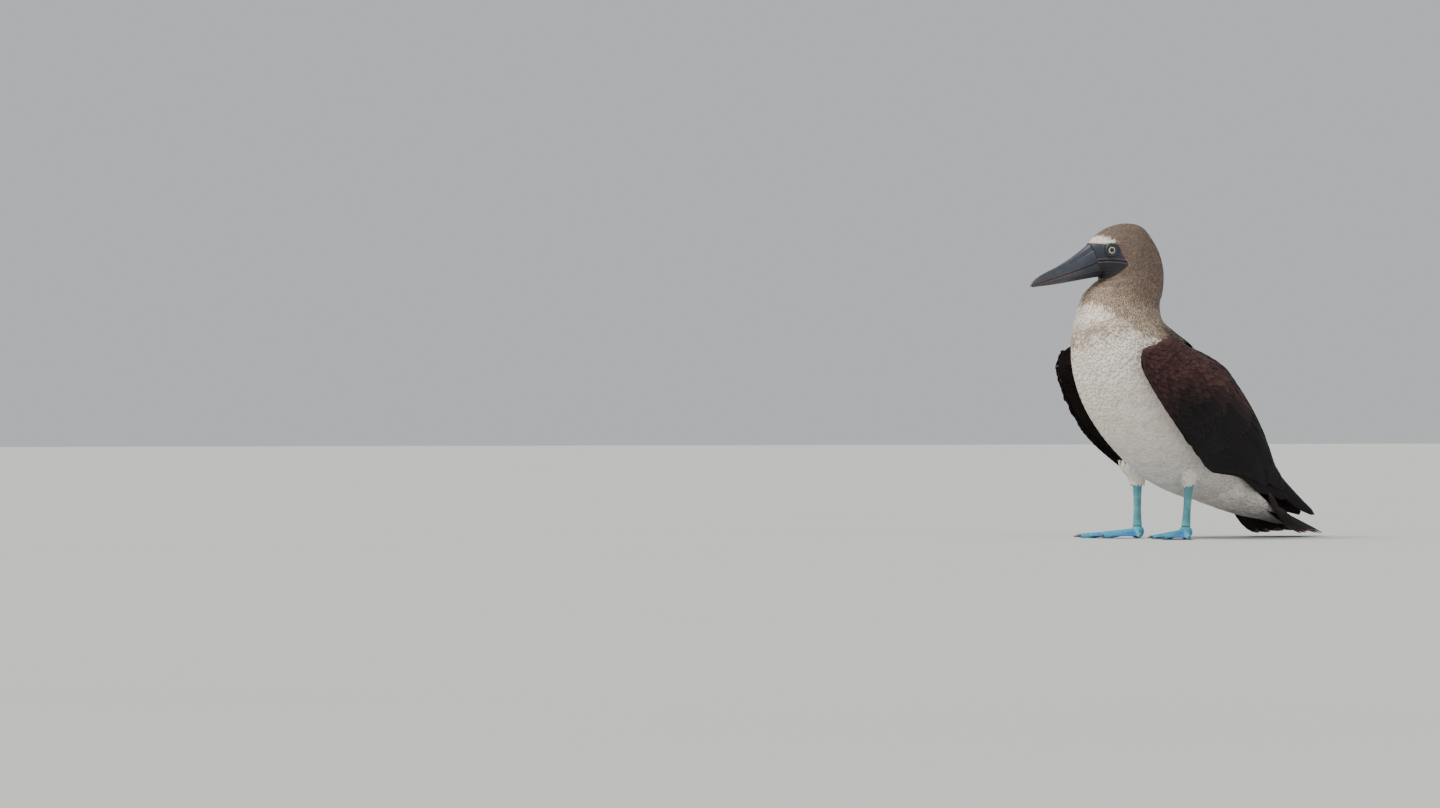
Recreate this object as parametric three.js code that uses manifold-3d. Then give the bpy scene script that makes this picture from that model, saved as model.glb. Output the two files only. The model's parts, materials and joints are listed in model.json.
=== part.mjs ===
// A blue footed booby, life size, standing still on a flat floor.
// Millimetres, +Z up. The bird faces -Y, so its left side is +X.
// Places on the bird are given as ahead, side and up: ahead of the middle of the stance,
// to the bird's left of its own middle plane, and above the floor.
import * as THREE from "three";
import { mergeVertices } from "three/addons/utils/BufferGeometryUtils.js";
import Module from "manifold-3d";

const wasm = await Module();
wasm.setup();

const GAP = 0.35; // clearance between neighbouring pieces
const degrees = THREE.MathUtils.degToRad;
const place = (ahead, side, up) => new THREE.Vector3(side, -ahead, up);

// Smooth values between the rows of a table, whose first column is the position.
function smoothTable(rows) {
  const width = rows[0].length - 1;
  const spline = new THREE.CubicInterpolant(
    rows.map((row) => row[0]),
    rows.flatMap((row) => row.slice(1)),
    width,
  );
  const first = rows[0][0];
  const last = rows[rows.length - 1][0];
  return (at) => Array.from(spline.evaluate(Math.min(Math.max(at, first), last)));
}

// A closed surface through rings of points, with a fan of triangles over each end. From
// the ring's point "flip" on, its squares are split the other way, so that the two faces
// of a thin curved sheet are split alike.
function loft(rings, flip = Infinity) {
  const count = rings[0].length;
  const positions = rings.flat().flatMap((p) => [p.x, p.y, p.z]);
  const index = [];
  for (let r = 0; r + 1 < rings.length; r++) {
    for (let i = 0; i < count; i++) {
      const a = r * count + i;
      const b = r * count + ((i + 1) % count);
      if (i < flip) index.push(a, b, a + count, b, b + count, a + count);
      else index.push(a, b, b + count, a, b + count, a + count);
    }
  }
  const last = (rings.length - 1) * count;
  for (const start of [0, last]) {
    const ring = rings[start / count];
    const middle = ring.reduce((sum, p) => sum.add(p), new THREE.Vector3()).divideScalar(count);
    const centre = positions.length / 3;
    positions.push(middle.x, middle.y, middle.z);
    for (let i = 0; i < count; i++) {
      const a = start + i;
      const b = start + ((i + 1) % count);
      if (start === 0) index.push(centre, b, a);
      else index.push(centre, a, b);
    }
  }
  const geometry = new THREE.BufferGeometry();
  geometry.setAttribute("position", new THREE.Float32BufferAttribute(positions, 3));
  geometry.setIndex(index);
  return geometry;
}

// A closed geometry as a solid that can be joined and cut, whichever way its faces turn.
const WELD = 1e-3; // corners closer than this are one
function solid(geometry) {
  const bare = geometry.clone();
  bare.deleteAttribute("normal");
  bare.deleteAttribute("uv");
  const merged = mergeVertices(bare, WELD);
  const build = (triVerts) =>
    new wasm.Manifold(
      new wasm.Mesh({ numProp: 3, vertProperties: merged.attributes.position.array, triVerts }),
    );
  const triVerts = new Uint32Array(merged.index.array);
  const made = build(triVerts);
  if (made.volume() > 0) return made;
  for (let i = 0; i < triVerts.length; i += 3) {
    [triVerts[i + 1], triVerts[i + 2]] = [triVerts[i + 2], triVerts[i + 1]];
  }
  return build(triVerts);
}

const largestBody = (made) => made.decompose().sort((p, q) => q.volume() - p.volume())[0];

function surfaceOf(made) {
  const mesh = made.getMesh();
  const positions = new Float32Array(mesh.numVert * 3);
  for (let i = 0; i < mesh.numVert; i++) {
    const from = i * mesh.numProp;
    positions.set(mesh.vertProperties.subarray(from, from + 3), i * 3);
  }
  const geometry = new THREE.BufferGeometry();
  geometry.setAttribute("position", new THREE.BufferAttribute(positions, 3));
  geometry.setIndex(new THREE.BufferAttribute(new Uint32Array(mesh.triVerts), 1));
  return geometry;
}

// The outer surface of a solid's largest body, with its closest corners welded.
function geometryOf(made) {
  const welded = solid(surfaceOf(largestBody(made)));
  const geometry = surfaceOf(largestBody(welded));
  geometry.computeVertexNormals();
  return geometry;
}

const bird = new THREE.Group();
function addPiece(name, made, material) {
  const mesh = new THREE.Mesh(geometryOf(made), material);
  mesh.name = name;
  bird.add(mesh);
}

const finish = (color, roughness) =>
  new THREE.MeshStandardMaterial({ color, roughness, metalness: 0 });
const streakedFeather = finish(0x9a8672, 0.9);
const whiteFeather = finish(0xe6e0d6, 0.9);
const brownFeather = finish(0x3a2822, 0.8);
const tailFeather = finish(0x2a2220, 0.75);
const billHorn = finish(0x43454f, 0.45);
const eyeMaterial = finish(0xd8d6a8, 0.15);
const legSkin = finish(0x7cc0b4, 0.5);
const webSkin = finish(0x2c86cc, 0.5);
const clawHorn = finish(0x3c4044, 0.4);

// Torso, neck and head: one form through planar sections, parted by thin cuts.
// Each section has its place along the body, the middle's ahead and up, the lean of the
// spine above the horizontal in degrees, and the half width, half depth above and below.
const TURN_AXIS_AHEAD = 72; // the upright line in the neck that the head turns about
const HEAD_TURN = -14; // degrees, to the bird's right
const THROAT = { ahead: 98.5, up: 326.5 }; // the corner under the bill that the head fans about

// A section of the head: degrees above straight back, reach from the throat, half width.
function headSection(at, angle, near, far, halfWidth) {
  const reach = (near + far) / 2;
  return [
    at,
    THROAT.ahead - reach * Math.cos(degrees(angle)),
    THROAT.up + reach * Math.sin(degrees(angle)),
    90 - angle,
    halfWidth,
    (far - near) / 2,
    (far - near) / 2,
  ];
}

const bodySections = smoothTable([
  [0, -128, 58, 22, 22, 9, 12],
  [1, -112, 66, 27, 36, 19, 25],
  [2, -90, 80, 33, 53, 31, 39],
  [3, -64, 99, 40, 67, 46, 55],
  [4, -36, 124, 46, 77, 59, 70],
  [5, -8, 154, 50, 82, 68, 79],
  [6, 18, 185, 53, 83, 72, 83],
  [7, 42, 214, 57, 80, 69, 79],
  [8, 62, 241, 64, 71, 61, 70],
  [9, 72, 264, 74, 60, 55, 63],
  [10, 73, 284, 83, 52, 53, 58],
  [11, 70.5, 301, 88, 48, 52, 53],
  [12, 66, 312, 92, 45, 50.5, 50.5],
  headSection(13, 3, -3.5, 85.5, 42),
  headSection(14, 15, -1, 87, 39.5),
  headSection(15, 28, 0.5, 88.5, 37.5),
  headSection(16, 40, 1.5, 89.5, 36),
  headSection(17, 52, 2.4, 90.5, 33.5),
  headSection(18, 64, 3.4, 83.5, 30),
  headSection(19, 77, 4.6, 73.5, 26),
  headSection(20, 92, 5.8, 62.5, 20.5),
  headSection(21, 108.4, 7, 52, 13.6),
]);

// Turns a point of the head about the upright line in the neck.
function turned(point, share) {
  const angle = degrees(HEAD_TURN * share);
  const ahead = -point.y - TURN_AXIS_AHEAD;
  const side = point.x;
  return place(
    TURN_AXIS_AHEAD + ahead * Math.cos(angle) - side * Math.sin(angle),
    side * Math.cos(angle) + ahead * Math.sin(angle),
    point.z,
  );
}
const TURN_FROM = 9;
const TURN_TO = 13;
const turnShare = (at) => THREE.MathUtils.smoothstep(at, TURN_FROM, TURN_TO);

const BODY_SIDES = 28;
const power = (value, exponent) => Math.sign(value) * Math.abs(value) ** exponent;

// The powers of a section's outline above and below its widest line: two is a plain oval,
// more is squarer and less is more like a keel.
function sectionPowers(at) {
  const back = 2.5 - 0.5 * THREE.MathUtils.smoothstep(at, 6, 10);
  const belly = 1.8 + 0.25 * THREE.MathUtils.smoothstep(at, 4, 8);
  return [back, belly];
}

function bodyRing(at, grow, sides) {
  const [ahead, up, lean, halfWidth, above, below] = bodySections(at);
  const back = Math.sin(degrees(lean));
  const rise = Math.cos(degrees(lean));
  const [backPower, bellyPower] = sectionPowers(at);
  return Array.from({ length: sides }, (_, i) => {
    const round = (i / sides) * 2 * Math.PI;
    const curve = 2 / (Math.sin(round) > 0 ? backPower : bellyPower);
    const side = (halfWidth + grow) * power(Math.cos(round), curve);
    const depth = power(Math.sin(round), curve);
    const out = depth * ((depth > 0 ? above : below) + grow);
    return turned(place(ahead - back * out, side, up + rise * out), turnShare(at));
  });
}

// A length of the body, or with a margin the larger solid that clears it all round.
function bodyPart(from, to, steps, margin = 0, sides = BODY_SIDES) {
  const rings = Array.from({ length: steps + 1 }, (_, i) => {
    const at = from + ((to - from) * i) / steps;
    const ring = bodyRing(at, margin, sides);
    if (i > 0) return ring;
    const lean = degrees(bodySections(at)[2]);
    const back = place(-margin * Math.cos(lean), 0, -margin * Math.sin(lean));
    return ring.map((point) => point.add(back));
  });
  return solid(loft(rings));
}

const NECK_CUT = 9.2;
const HEAD_CUT = 12.3;
const CUT_STEP = 0.03; // a step along the table that leaves the gap between two parts
const torso = bodyPart(0, NECK_CUT, 22);
const neck = bodyPart(NECK_CUT + CUT_STEP, HEAD_CUT, 8);
const bodyCutter = bodyPart(0, NECK_CUT, 22, GAP).add(bodyPart(NECK_CUT, HEAD_CUT, 8, GAP));

// The eye, in the head's own plane: ahead of the turning line, up, and out to the side.
const EYE = { ahead: 21.5, up: 366.4, side: 18.5, radius: 8 };
const EYE_FORWARD = 15; // degrees that each eye looks ahead of straight sideways
const LID_RADIUS = 6.9;
const LID_THICKNESS = 1.7;
const LID_SIDE = 24;
const headPoint = (ahead, side, up) => turned(place(TURN_AXIS_AHEAD + ahead, side, up), 1);

function ballAt(point, radius, around, down) {
  const ball = new THREE.SphereGeometry(radius, around, down);
  ball.translate(point.x, point.y, point.z);
  return solid(ball);
}

function lidRing(sign) {
  const ring = new THREE.TorusGeometry(LID_RADIUS, LID_THICKNESS, 5, 14);
  ring.rotateY(Math.PI / 2);
  ring.rotateZ(degrees(HEAD_TURN - sign * EYE_FORWARD));
  const middle = headPoint(EYE.ahead + 1.4, sign * LID_SIDE, EYE.up);
  ring.translate(middle.x, middle.y, middle.z);
  return solid(ring);
}

let head = bodyPart(HEAD_CUT + CUT_STEP, 21, 18);
for (const sign of [1, -1]) {
  head = head.add(lidRing(sign));
  const middle = headPoint(EYE.ahead, sign * EYE.side, EYE.up);
  head = head.subtract(ballAt(middle, EYE.radius + GAP, 14, 8));
}

// The mouth runs on from the bill's root to the gape as a shallow groove in the face.
const GAPE_LINE = smoothTable([
  [2, 349.6],
  [9, 351.8],
  [20, 353.3],
  [33, 352.8],
  [50, 351.2],
]);
const GROOVE_HEIGHT = 0.9;
const GROOVE_DEPTH = 1.2;
const FACE_REACH = 40; // wider than the face, so that the groove opens on both sides
const grooveRings = Array.from({ length: 5 }, (_, i) => {
  const ahead = 2 + 12 * i;
  const [up] = GAPE_LINE(ahead);
  const high = GROOVE_HEIGHT / (i === 0 ? 4 : 2);
  return [
    headPoint(ahead, -FACE_REACH, up - high),
    headPoint(ahead, FACE_REACH, up - high),
    headPoint(ahead, FACE_REACH, up + high),
    headPoint(ahead, -FACE_REACH, up + high),
  ];
});
const withinSkin = bodyPart(HEAD_CUT, 21, 7, -GROOVE_DEPTH, 14);
head = head.subtract(solid(loft(grooveRings)).subtract(withinSkin));

addPiece("torso", torso, whiteFeather);
addPiece("neck", neck, streakedFeather);
addPiece("head", head, streakedFeather);
for (const [name, sign] of [
  ["eye_left", 1],
  ["eye_right", -1],
]) {
  const middle = headPoint(EYE.ahead, sign * EYE.side, EYE.up);
  addPiece(name, ballAt(middle, EYE.radius, 14, 8), eyeMaterial);
}

// The bill: rows of distance ahead of the turning line, the ridge's height, the mouth
// line's height, the lower edge's height, and the half width.
const BILL_ROOT = 42.9; // how far ahead the top of the root is
const BILL_ROOT_UP = 375.9;
const ROOT_SLOPE = 0.332; // how far the root's face leans back for each mm down
const billRows = smoothTable([
  [42.9, 375.9, 351.6, 333.4, 13],
  [57, 366.7, 345.8, 330.8, 10.6],
  [75.5, 355.2, 339, 327, 8.3],
  [93.3, 344.8, 332.6, 323.4, 6.3],
  [108, 337.4, 327, 320.9, 4.8],
  [118.6, 330.4, 322.8, 319.4, 3.4],
  [123.5, 325.6, 320.4, 318.6, 2.2],
  [126.5, 320.6, 319, 318.2, 0.9],
]);
const BILL_STEPS = 12;
const BILL_TIP = 126.5;
const LOWER_TIP = 123.5;
const MOUTH_GAP = 0.4;

// Half of a mandible's section, as shares of the half width and of the height.
const ROOF = [
  [1, 0],
  [0.97, 0.3],
  [0.84, 0.58],
  [0.62, 0.72],
  [0.5, 0.86],
  [0.26, 0.97],
];
function billSection(ahead, halfWidth, edge, crest, root) {
  const half = ROOF.map(([wide, high]) => [wide * halfWidth, edge + (crest - edge) * high]);
  const outline = [
    ...half,
    [0, crest],
    ...half.slice().reverse().map(([wide, high]) => [-wide, high]),
  ];
  return outline.map(([side, up]) =>
    headPoint(ahead - root * (BILL_ROOT_UP - up) * ROOT_SLOPE, side, up),
  );
}
// The stations are shared up to the lower tip, so that the two mouth edges stay parallel.
const BILL_START = BILL_ROOT + 0.6;
const billStations = Array.from(
  { length: BILL_STEPS + 1 },
  (_, i) => BILL_START + (LOWER_TIP - BILL_START) * (1 - (1 - i / BILL_STEPS) ** 1.3),
);
function mandible(stations, crestColumn, gap) {
  const rings = stations.map((ahead) => {
    const row = billRows(ahead);
    const root = (LOWER_TIP - ahead) / (LOWER_TIP - BILL_START);
    return billSection(ahead, row[3], row[1] + gap, row[crestColumn], Math.max(root, 0));
  });
  return solid(loft(rings));
}
const upperStations = [...billStations, (LOWER_TIP + BILL_TIP) / 2, BILL_TIP];
addPiece("bill_upper", mandible(upperStations, 0, MOUTH_GAP / 2), billHorn);
addPiece("bill_lower", mandible(billStations, 2, -MOUTH_GAP / 2), billHorn);

const floorCutter = (() => {
  const block = new THREE.BoxGeometry(900, 900, 40);
  block.translate(0, 0, -20);
  return solid(block);
})();

// A feather vane lying on a surface: a thin closed blade with its root sunk in and its tip
// standing a little clear. The surface gives a point for a place along and across it and a
// height over it. Each row of the form is a share of the length and of the half width.
const VANE_FORM = [
  [0, 0.6],
  [0.5, 1],
  [0.86, 0.84],
  [1, 0.22],
];
const VANE_EDGE = 0.6; // thickness at a vane's edges
const VANE_RIDGE = 0.7; // how far its shaft stands above the edges
const ROOT_SINK = 2.2;

function vane(surface, root, tip, halfWidth, tipLift) {
  const rings = VANE_FORM.map(([share, wide]) => {
    const along = root[0] + (tip[0] - root[0]) * share;
    const across = root[1] + (tip[1] - root[1]) * share;
    const half = halfWidth(along) * wide;
    const lift = -ROOT_SINK + (ROOT_SINK + tipLift) * Math.min(1, share * 1.3);
    return [
      surface(along, across - half, lift),
      surface(along, across, lift + VANE_RIDGE),
      surface(along, across + half, lift),
      surface(along, across + half, lift - VANE_EDGE),
      surface(along, across - half, lift - VANE_EDGE),
    ];
  });
  return solid(loft(rings));
}

// An even, repeatable scatter between -1 and 1.
function scatter(seed) {
  let state = seed;
  return () => {
    state = (state * 16807) % 2147483647;
    return (state / 2147483647) * 2 - 1;
  };
}

// Folded wings. A wing is laid out flat first: "back" runs from the bend of the wing to
// its tip, "low" runs down and forward across it, and the form bulges out to the side.
const WRIST = { ahead: 100, up: 224 };
const WING_SLOPE = degrees(33); // the wing's length falls this far below the horizontal
const WING_START = -8;
const WING_LENGTH = 407;
// Each row: back, reach to the side, where the side starts to turn in, how far that takes.
const wingForm = smoothTable([
  [-8, 80, 0, 60],
  [0, 83, 8, 68],
  [25, 86.5, 22, 92],
  [43, 89, 28, 102],
  [79, 92, 30, 107.5],
  [112, 90, 30, 116],
  [141, 85, 22, 112],
  [169, 78, 13, 98],
  [196, 73, 5, 83],
  [225, 67, -5, 61.6],
  [250, 60, -14, 40],
  [276, 51, -16, 22.4],
  [290, 45, -16, 18.6],
  [320, 36, -18, 16],
  [350, 27, -22, 12],
  [380, 19, -26, 9],
  [407, 12, -29, 8],
]);
// Each row: back, the lower edge and the upper edge.
const wingEdges = smoothTable([
  [-8, -6, -14],
  [0, 6, -22],
  [10, 13.5, -33],
  [25, 22.5, -48],
  [43, 30, -62],
  [64, 37.5, -73],
  [94, 44.5, -80],
  [114, 47, -85],
  [141, 49.5, -88.5],
  [168, 51, -84],
  [196, 38, -77],
  [225, 24, -66],
  [250, 19, -53.5],
  [276, 15, -38],
  [290, 8, -34],
  [300, 0, -30],
  [330, -7, -30],
  [370, -16, -32],
  [400, -26, -33],
  [407, -29, -31.5],
]);
const wingDepth = smoothTable([
  [-8, 3],
  [2, 12],
  [14, 26],
  [30, 34],
  [100, 34],
  [200, 18],
  [250, 8],
  [276, 5],
  [300, 4],
  [407, 1.6],
]);
const SHOULDER_CURVE = 3; // how squarely a wing's outer face turns in over the back
const NEAREST_MIDDLE = 0.7; // no part of a wing comes closer to the middle plane

function wingPoint(back, low, depth, sign) {
  const [reach, middle, half] = wingForm(back);
  const round = Math.min(Math.max((middle - low) / half, 0), 0.999);
  const side = reach * (1 - round ** SHOULDER_CURVE) ** (1 / SHOULDER_CURVE);
  return place(
    WRIST.ahead - back * Math.cos(WING_SLOPE) + low * Math.sin(WING_SLOPE),
    sign * Math.max(side - depth, NEAREST_MIDDLE),
    WRIST.up - back * Math.sin(WING_SLOPE) - low * Math.cos(WING_SLOPE),
  );
}

// A point over the wing's outer face; "across" is 0 at its upper edge and 1 at its lower.
const wingSurface = (sign) => (back, across, lift) => {
  const [lowEdge, highEdge] = wingEdges(back);
  const low = highEdge + (lowEdge - highEdge) * across;
  const point = wingPoint(back, low, 0, sign);
  const along = wingPoint(back + 1, low, 0, sign).sub(wingPoint(back - 1, low, 0, sign));
  const down = wingPoint(back, low + 1, 0, sign).sub(wingPoint(back, low - 1, 0, sign));
  const normal = along.cross(down).normalize().multiplyScalar(-sign);
  point.addScaledVector(normal, lift);
  point.x = sign * Math.max(sign * point.x, NEAREST_MIDDLE);
  return point;
};

const WING_ACROSS = 7;
const WING_STEPS = 20;
const RIM = 2.5; // thickness at the wing's lower rim
function wingCore(sign) {
  const rings = [];
  for (let i = 0; i <= WING_STEPS; i++) {
    const back = WING_START + (WING_LENGTH - WING_START) * (i / WING_STEPS) ** 1.3;
    const [lowEdge, highEdge] = wingEdges(back);
    const [depth] = wingDepth(back);
    const rim = Math.min(RIM, depth * 0.6);
    const outer = [];
    const inner = [];
    for (let j = 0; j <= WING_ACROSS; j++) {
      const low = highEdge + ((lowEdge - highEdge) * j) / WING_ACROSS;
      outer.push(wingPoint(back, low, 0, sign));
      inner.push(wingPoint(back, low, Math.min(depth, rim + (lowEdge - low) * 1.3), sign));
    }
    rings.push([...outer, ...inner.reverse()]);
  }
  return solid(loft(rings, WING_ACROSS + 1));
}

// Tiers of wing feathers, the last laid on top. Each row of a tier is a vane: where its tip
// lies back and across. Lengths are along the wing, widths are across the vane.
const WING_TIERS = [
  {
    // primaries
    length: 120,
    halfWidth: 6.5,
    lift: 0.7,
    tips: [
      [404, 0.55],
      [390, 0.42],
      [374, 0.34],
      [356, 0.28],
      [337, 0.24],
      [317, 0.22],
    ],
  },
  {
    // secondaries and tertials
    length: 76,
    halfWidth: 10,
    lift: 1.3,
    tips: [
      [190, 0.93],
      [215, 0.91],
      [241, 0.89],
      [267, 0.83],
      [288, 0.68],
      [289, 0.49],
      [278, 0.32],
      [260, 0.17],
    ],
  },
  {
    // greater coverts
    length: 56,
    halfWidth: 10.5,
    lift: 1.6,
    tips: [
      [146, 0.92],
      [166, 0.8],
      [182, 0.67],
      [193, 0.53],
      [200, 0.39],
      [201, 0.26],
    ],
  },
  {
    // median coverts
    length: 44,
    halfWidth: 10.5,
    lift: 1.6,
    tips: [
      [96, 0.91],
      [112, 0.78],
      [126, 0.64],
      [138, 0.5],
      [147, 0.36],
    ],
  },
  {
    // lesser coverts, down the leading edge
    length: 34,
    halfWidth: 10,
    lift: 1.5,
    tips: [
      [50, 0.88],
      [63, 0.7],
      [76, 0.52],
      [88, 0.35],
    ],
  },
  {
    // scapulars
    length: 58,
    halfWidth: 11,
    lift: 1.7,
    tips: [
      [112, 0.19],
      [138, 0.13],
      [164, 0.18],
      [190, 0.12],
      [216, 0.16],
    ],
  },
];
const WING_SEED = 4021;

function wing(sign) {
  const vary = scatter(WING_SEED);
  let made = wingCore(sign);
  const acrossShare = (halfWidth) => (back) => {
    const [lowEdge, highEdge] = wingEdges(back);
    return halfWidth / Math.max(lowEdge - highEdge, 14);
  };
  for (const { length, halfWidth, lift, tips } of WING_TIERS) {
    for (const [back, across] of tips) {
      const tip = [back + 1.5 * vary(), across + 0.006 * vary()];
      const root = [tip[0] - length, tip[1] + 0.02 * vary()];
      const wide = acrossShare(halfWidth);
      made = made.add(vane(wingSurface(sign), root, tip, wide, lift + 0.3 * vary()));
    }
  }
  return made.subtract(bodyCutter);
}
addPiece("wing_left", wing(1), brownFeather);
addPiece("wing_right", wing(-1), brownFeather);

// Tail: a core from the rump, and over and under it the wedge of tail feathers, arched so
// that the outer ones hang lower. "Across" is 0 in the middle and 1 at the wedge's edge.
const TAIL_ROOT = { ahead: -118, up: 64 };
const TAIL_FALL = degrees(21);
const tailRows = smoothTable([
  [-14, 17, 4],
  [0, 22, 6],
  [30, 34, 14],
  [60, 43, 24],
  [95, 43, 24],
  [130, 31, 13],
  [155, 18, 4],
  [178, 8, 0.5],
]);
function tailSurface(back, across, lift) {
  const [halfWidth, arch] = tailRows(back);
  return place(
    TAIL_ROOT.ahead - back * Math.cos(TAIL_FALL),
    halfWidth * across,
    TAIL_ROOT.up - back * Math.sin(TAIL_FALL) - arch * across ** 2 + lift,
  );
}

const TAIL_CORE_LENGTH = 109;
const TAIL_CORE_STEPS = 6;
function tailCore() {
  const rings = [];
  for (let i = 0; i <= TAIL_CORE_STEPS; i++) {
    const share = i / TAIL_CORE_STEPS;
    const spread = 0.8 * (1 - 0.9 * share ** 3);
    const back = TAIL_CORE_LENGTH * share;
    const thick = 8 * (1 - share) ** 1.4 + 1.2;
    const top = [];
    const under = [];
    for (let k = 0; k <= 6; k++) {
      const across = spread * ((2 * k) / 6 - 1);
      const rim = thick * (0.35 + 0.65 * (1 - (across / spread) ** 2));
      top.push(tailSurface(back, across, rim / 2));
      under.push(tailSurface(back, across, -rim / 2));
    }
    rings.push([...top, ...under.reverse()]);
  }
  return solid(loft(rings, 7));
}

// Pairs of tail feathers from the middle outwards, as length and place across at the tip.
const RECTRICES = [
  [176, 0.3],
  [168, 0.52],
  [155, 0.66],
  [139, 0.76],
  [122, 0.83],
  [104, 0.88],
];
const RECTRIX_HALF_WIDTH = 8.5;
const COVERT_PAIRS = [
  [44, 0.24],
  [36, 0.64],
];
const UNDER_COVERT_PAIRS = [[64, 0.36]];
const TAIL_SEED = 977;

function tail() {
  const vary = scatter(TAIL_SEED);
  let made = tailCore();
  const wide = (halfWidth) => (back) => halfWidth / tailRows(back)[0];
  const pairs = (rows, from, halfWidth, liftOf) => {
    rows.forEach(([length, across], k) => {
      for (const sign of [1, -1]) {
        const tip = [length + 1.5 * vary(), sign * across];
        const root = [from + 1.7 * k + vary(), sign * across * 0.62];
        made = made.add(vane(tailSurface, root, tip, wide(halfWidth), liftOf(k, sign)));
      }
    });
  };
  pairs(RECTRICES, 4, RECTRIX_HALF_WIDTH, (k, sign) => 1.7 - 1.2 * k + 0.43 * sign);
  pairs(COVERT_PAIRS, -10, 8, (k, sign) => 4.9 - 1.3 * k + 0.47 * sign);
  pairs(UNDER_COVERT_PAIRS, -6, 12, (k, sign) => -4.3 + 0.41 * sign);
  return made.subtract(bodyCutter).subtract(floorCutter);
}
addPiece("tail", tail(), tailFeather);

// Legs and feet. Each row of a shank is a share of its length, its half width and half depth.
const STANCE = {
  left: { side: 36, top: -15, bottom: -9, foot: 28 },
  right: { side: -36, top: 9, bottom: 9, foot: -28 },
};
const SHANK_TOP = 74;
const ANKLE_UP = 13;
const shankRows = smoothTable([
  [0, 6.2, 7.6],
  [0.12, 5.4, 6.9],
  [0.4, 4.4, 5.8],
  [0.75, 4.5, 5.9],
  [1, 6, 7],
]);
function legPiece(leg, from, to, rows, steps, sides) {
  const rings = [];
  for (let i = 0; i <= steps; i++) {
    const share = i / steps;
    const [halfWidth, halfDepth] = rows(share);
    const up = from + (to - from) * share;
    const fall = (SHANK_TOP - up) / (SHANK_TOP - ANKLE_UP);
    const ahead = leg.top + (leg.bottom - leg.top) * fall;
    rings.push(
      Array.from({ length: sides }, (_, k) => {
        const round = (k / sides) * 2 * Math.PI;
        return place(
          ahead + halfDepth * Math.sin(round),
          leg.side + halfWidth * Math.cos(round),
          up,
        );
      }),
    );
  }
  return solid(loft(rings));
}
const thighRows = smoothTable([
  [0, 24, 28],
  [0.5, 17, 20],
  [0.85, 10, 12],
  [1, 8, 9.5],
]);
const THIGH_TOP = 100;

// A foot: four toes, all joined by webs. Each toe has its turn from the foot's own
// direction in degrees, towards the outer side, and its length without the claw.
const TOES = [
  { turn: -82, length: 32, thick: 3.2 },
  { turn: -28, length: 57, thick: 3.8 },
  { turn: -2, length: 75, thick: 4 },
  { turn: 23, length: 74, thick: 3.8 },
];
const TOE_ROOT_UP = 9.5;
const TOE_TIP_UP = 3;
const WEB_THICKNESS = 1.6;
const CLAW_LENGTH = 9;

function footPoint(leg, turn, out, up) {
  const angle = degrees(leg.foot + Math.sign(leg.foot) * turn);
  return place(leg.bottom + out * Math.cos(angle), leg.side + out * Math.sin(angle), up);
}
const toeUp = (share) => TOE_ROOT_UP + (TOE_TIP_UP - TOE_ROOT_UP) * Math.min(1, share * 1.15);

function toe(leg, { turn, length, thick }) {
  const rings = [];
  const steps = 4;
  for (let i = 0; i <= steps; i++) {
    const share = i / steps;
    const middle = footPoint(leg, turn, length * share, toeUp(share));
    const across = footPoint(leg, turn + 90, 1, 0).sub(footPoint(leg, turn + 90, 0, 0));
    const radius = thick * (share > 0.95 ? 0.75 : 1 - 0.12 * share);
    rings.push(
      Array.from({ length: 8 }, (_, k) => {
        const round = ((k + 0.5) / 8) * 2 * Math.PI;
        return middle
          .clone()
          .addScaledVector(across, radius * Math.cos(round))
          .add(new THREE.Vector3(0, 0, radius * Math.sin(round)));
      }),
    );
  }
  return solid(loft(rings));
}

// A web between two toes: a thin sheet whose front edge is hollow.
function web(leg, inner, outer) {
  const rings = [];
  const steps = 5;
  for (let i = 0; i <= steps; i++) {
    const share = 0.04 + (0.9 * i) / steps;
    const ring = [];
    for (const face of [1, -1]) {
      for (let k = 0; k <= 4; k++) {
        const across = face > 0 ? k / 4 : 1 - k / 4;
        const hollow = 1 - 0.2 * Math.sin(Math.PI * across) * share;
        const length = inner.length + (outer.length - inner.length) * across;
        const turn = inner.turn + (outer.turn - inner.turn) * across;
        const up = toeUp(share * hollow) + (face * WEB_THICKNESS) / 2;
        ring.push(footPoint(leg, turn, length * share * hollow, up));
      }
    }
    rings.push(ring);
  }
  return solid(loft(rings));
}

function foot(leg) {
  const ball = new THREE.SphereGeometry(1, 12, 8);
  ball.scale(9, 9, 9);
  ball.translate(leg.side, -leg.bottom, 8.4);
  let made = solid(ball);
  for (const each of TOES) made = made.add(toe(leg, each));
  for (let i = 0; i + 1 < TOES.length; i++) made = made.add(web(leg, TOES[i], TOES[i + 1]));
  return made.subtract(floorCutter);
}

function claw(leg, { turn, length, thick }) {
  const rings = [];
  const steps = 4;
  const root = thick * 0.62;
  for (let i = 0; i <= steps; i++) {
    const share = i / steps;
    const radius = root * (1 - share) + 0.35 * share;
    const drop = 1.6 * share * share;
    const middle = footPoint(
      leg,
      turn,
      length + GAP + CLAW_LENGTH * share,
      TOE_TIP_UP + 0.2 - drop,
    );
    const across = footPoint(leg, turn + 90, 1, 0).sub(footPoint(leg, turn + 90, 0, 0));
    rings.push(
      Array.from({ length: 6 }, (_, k) => {
        const round = (k / 6) * 2 * Math.PI;
        return middle
          .clone()
          .addScaledVector(across, radius * 0.85 * Math.cos(round))
          .add(new THREE.Vector3(0, 0, radius * Math.sin(round)));
      }),
    );
  }
  return solid(loft(rings));
}

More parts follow.
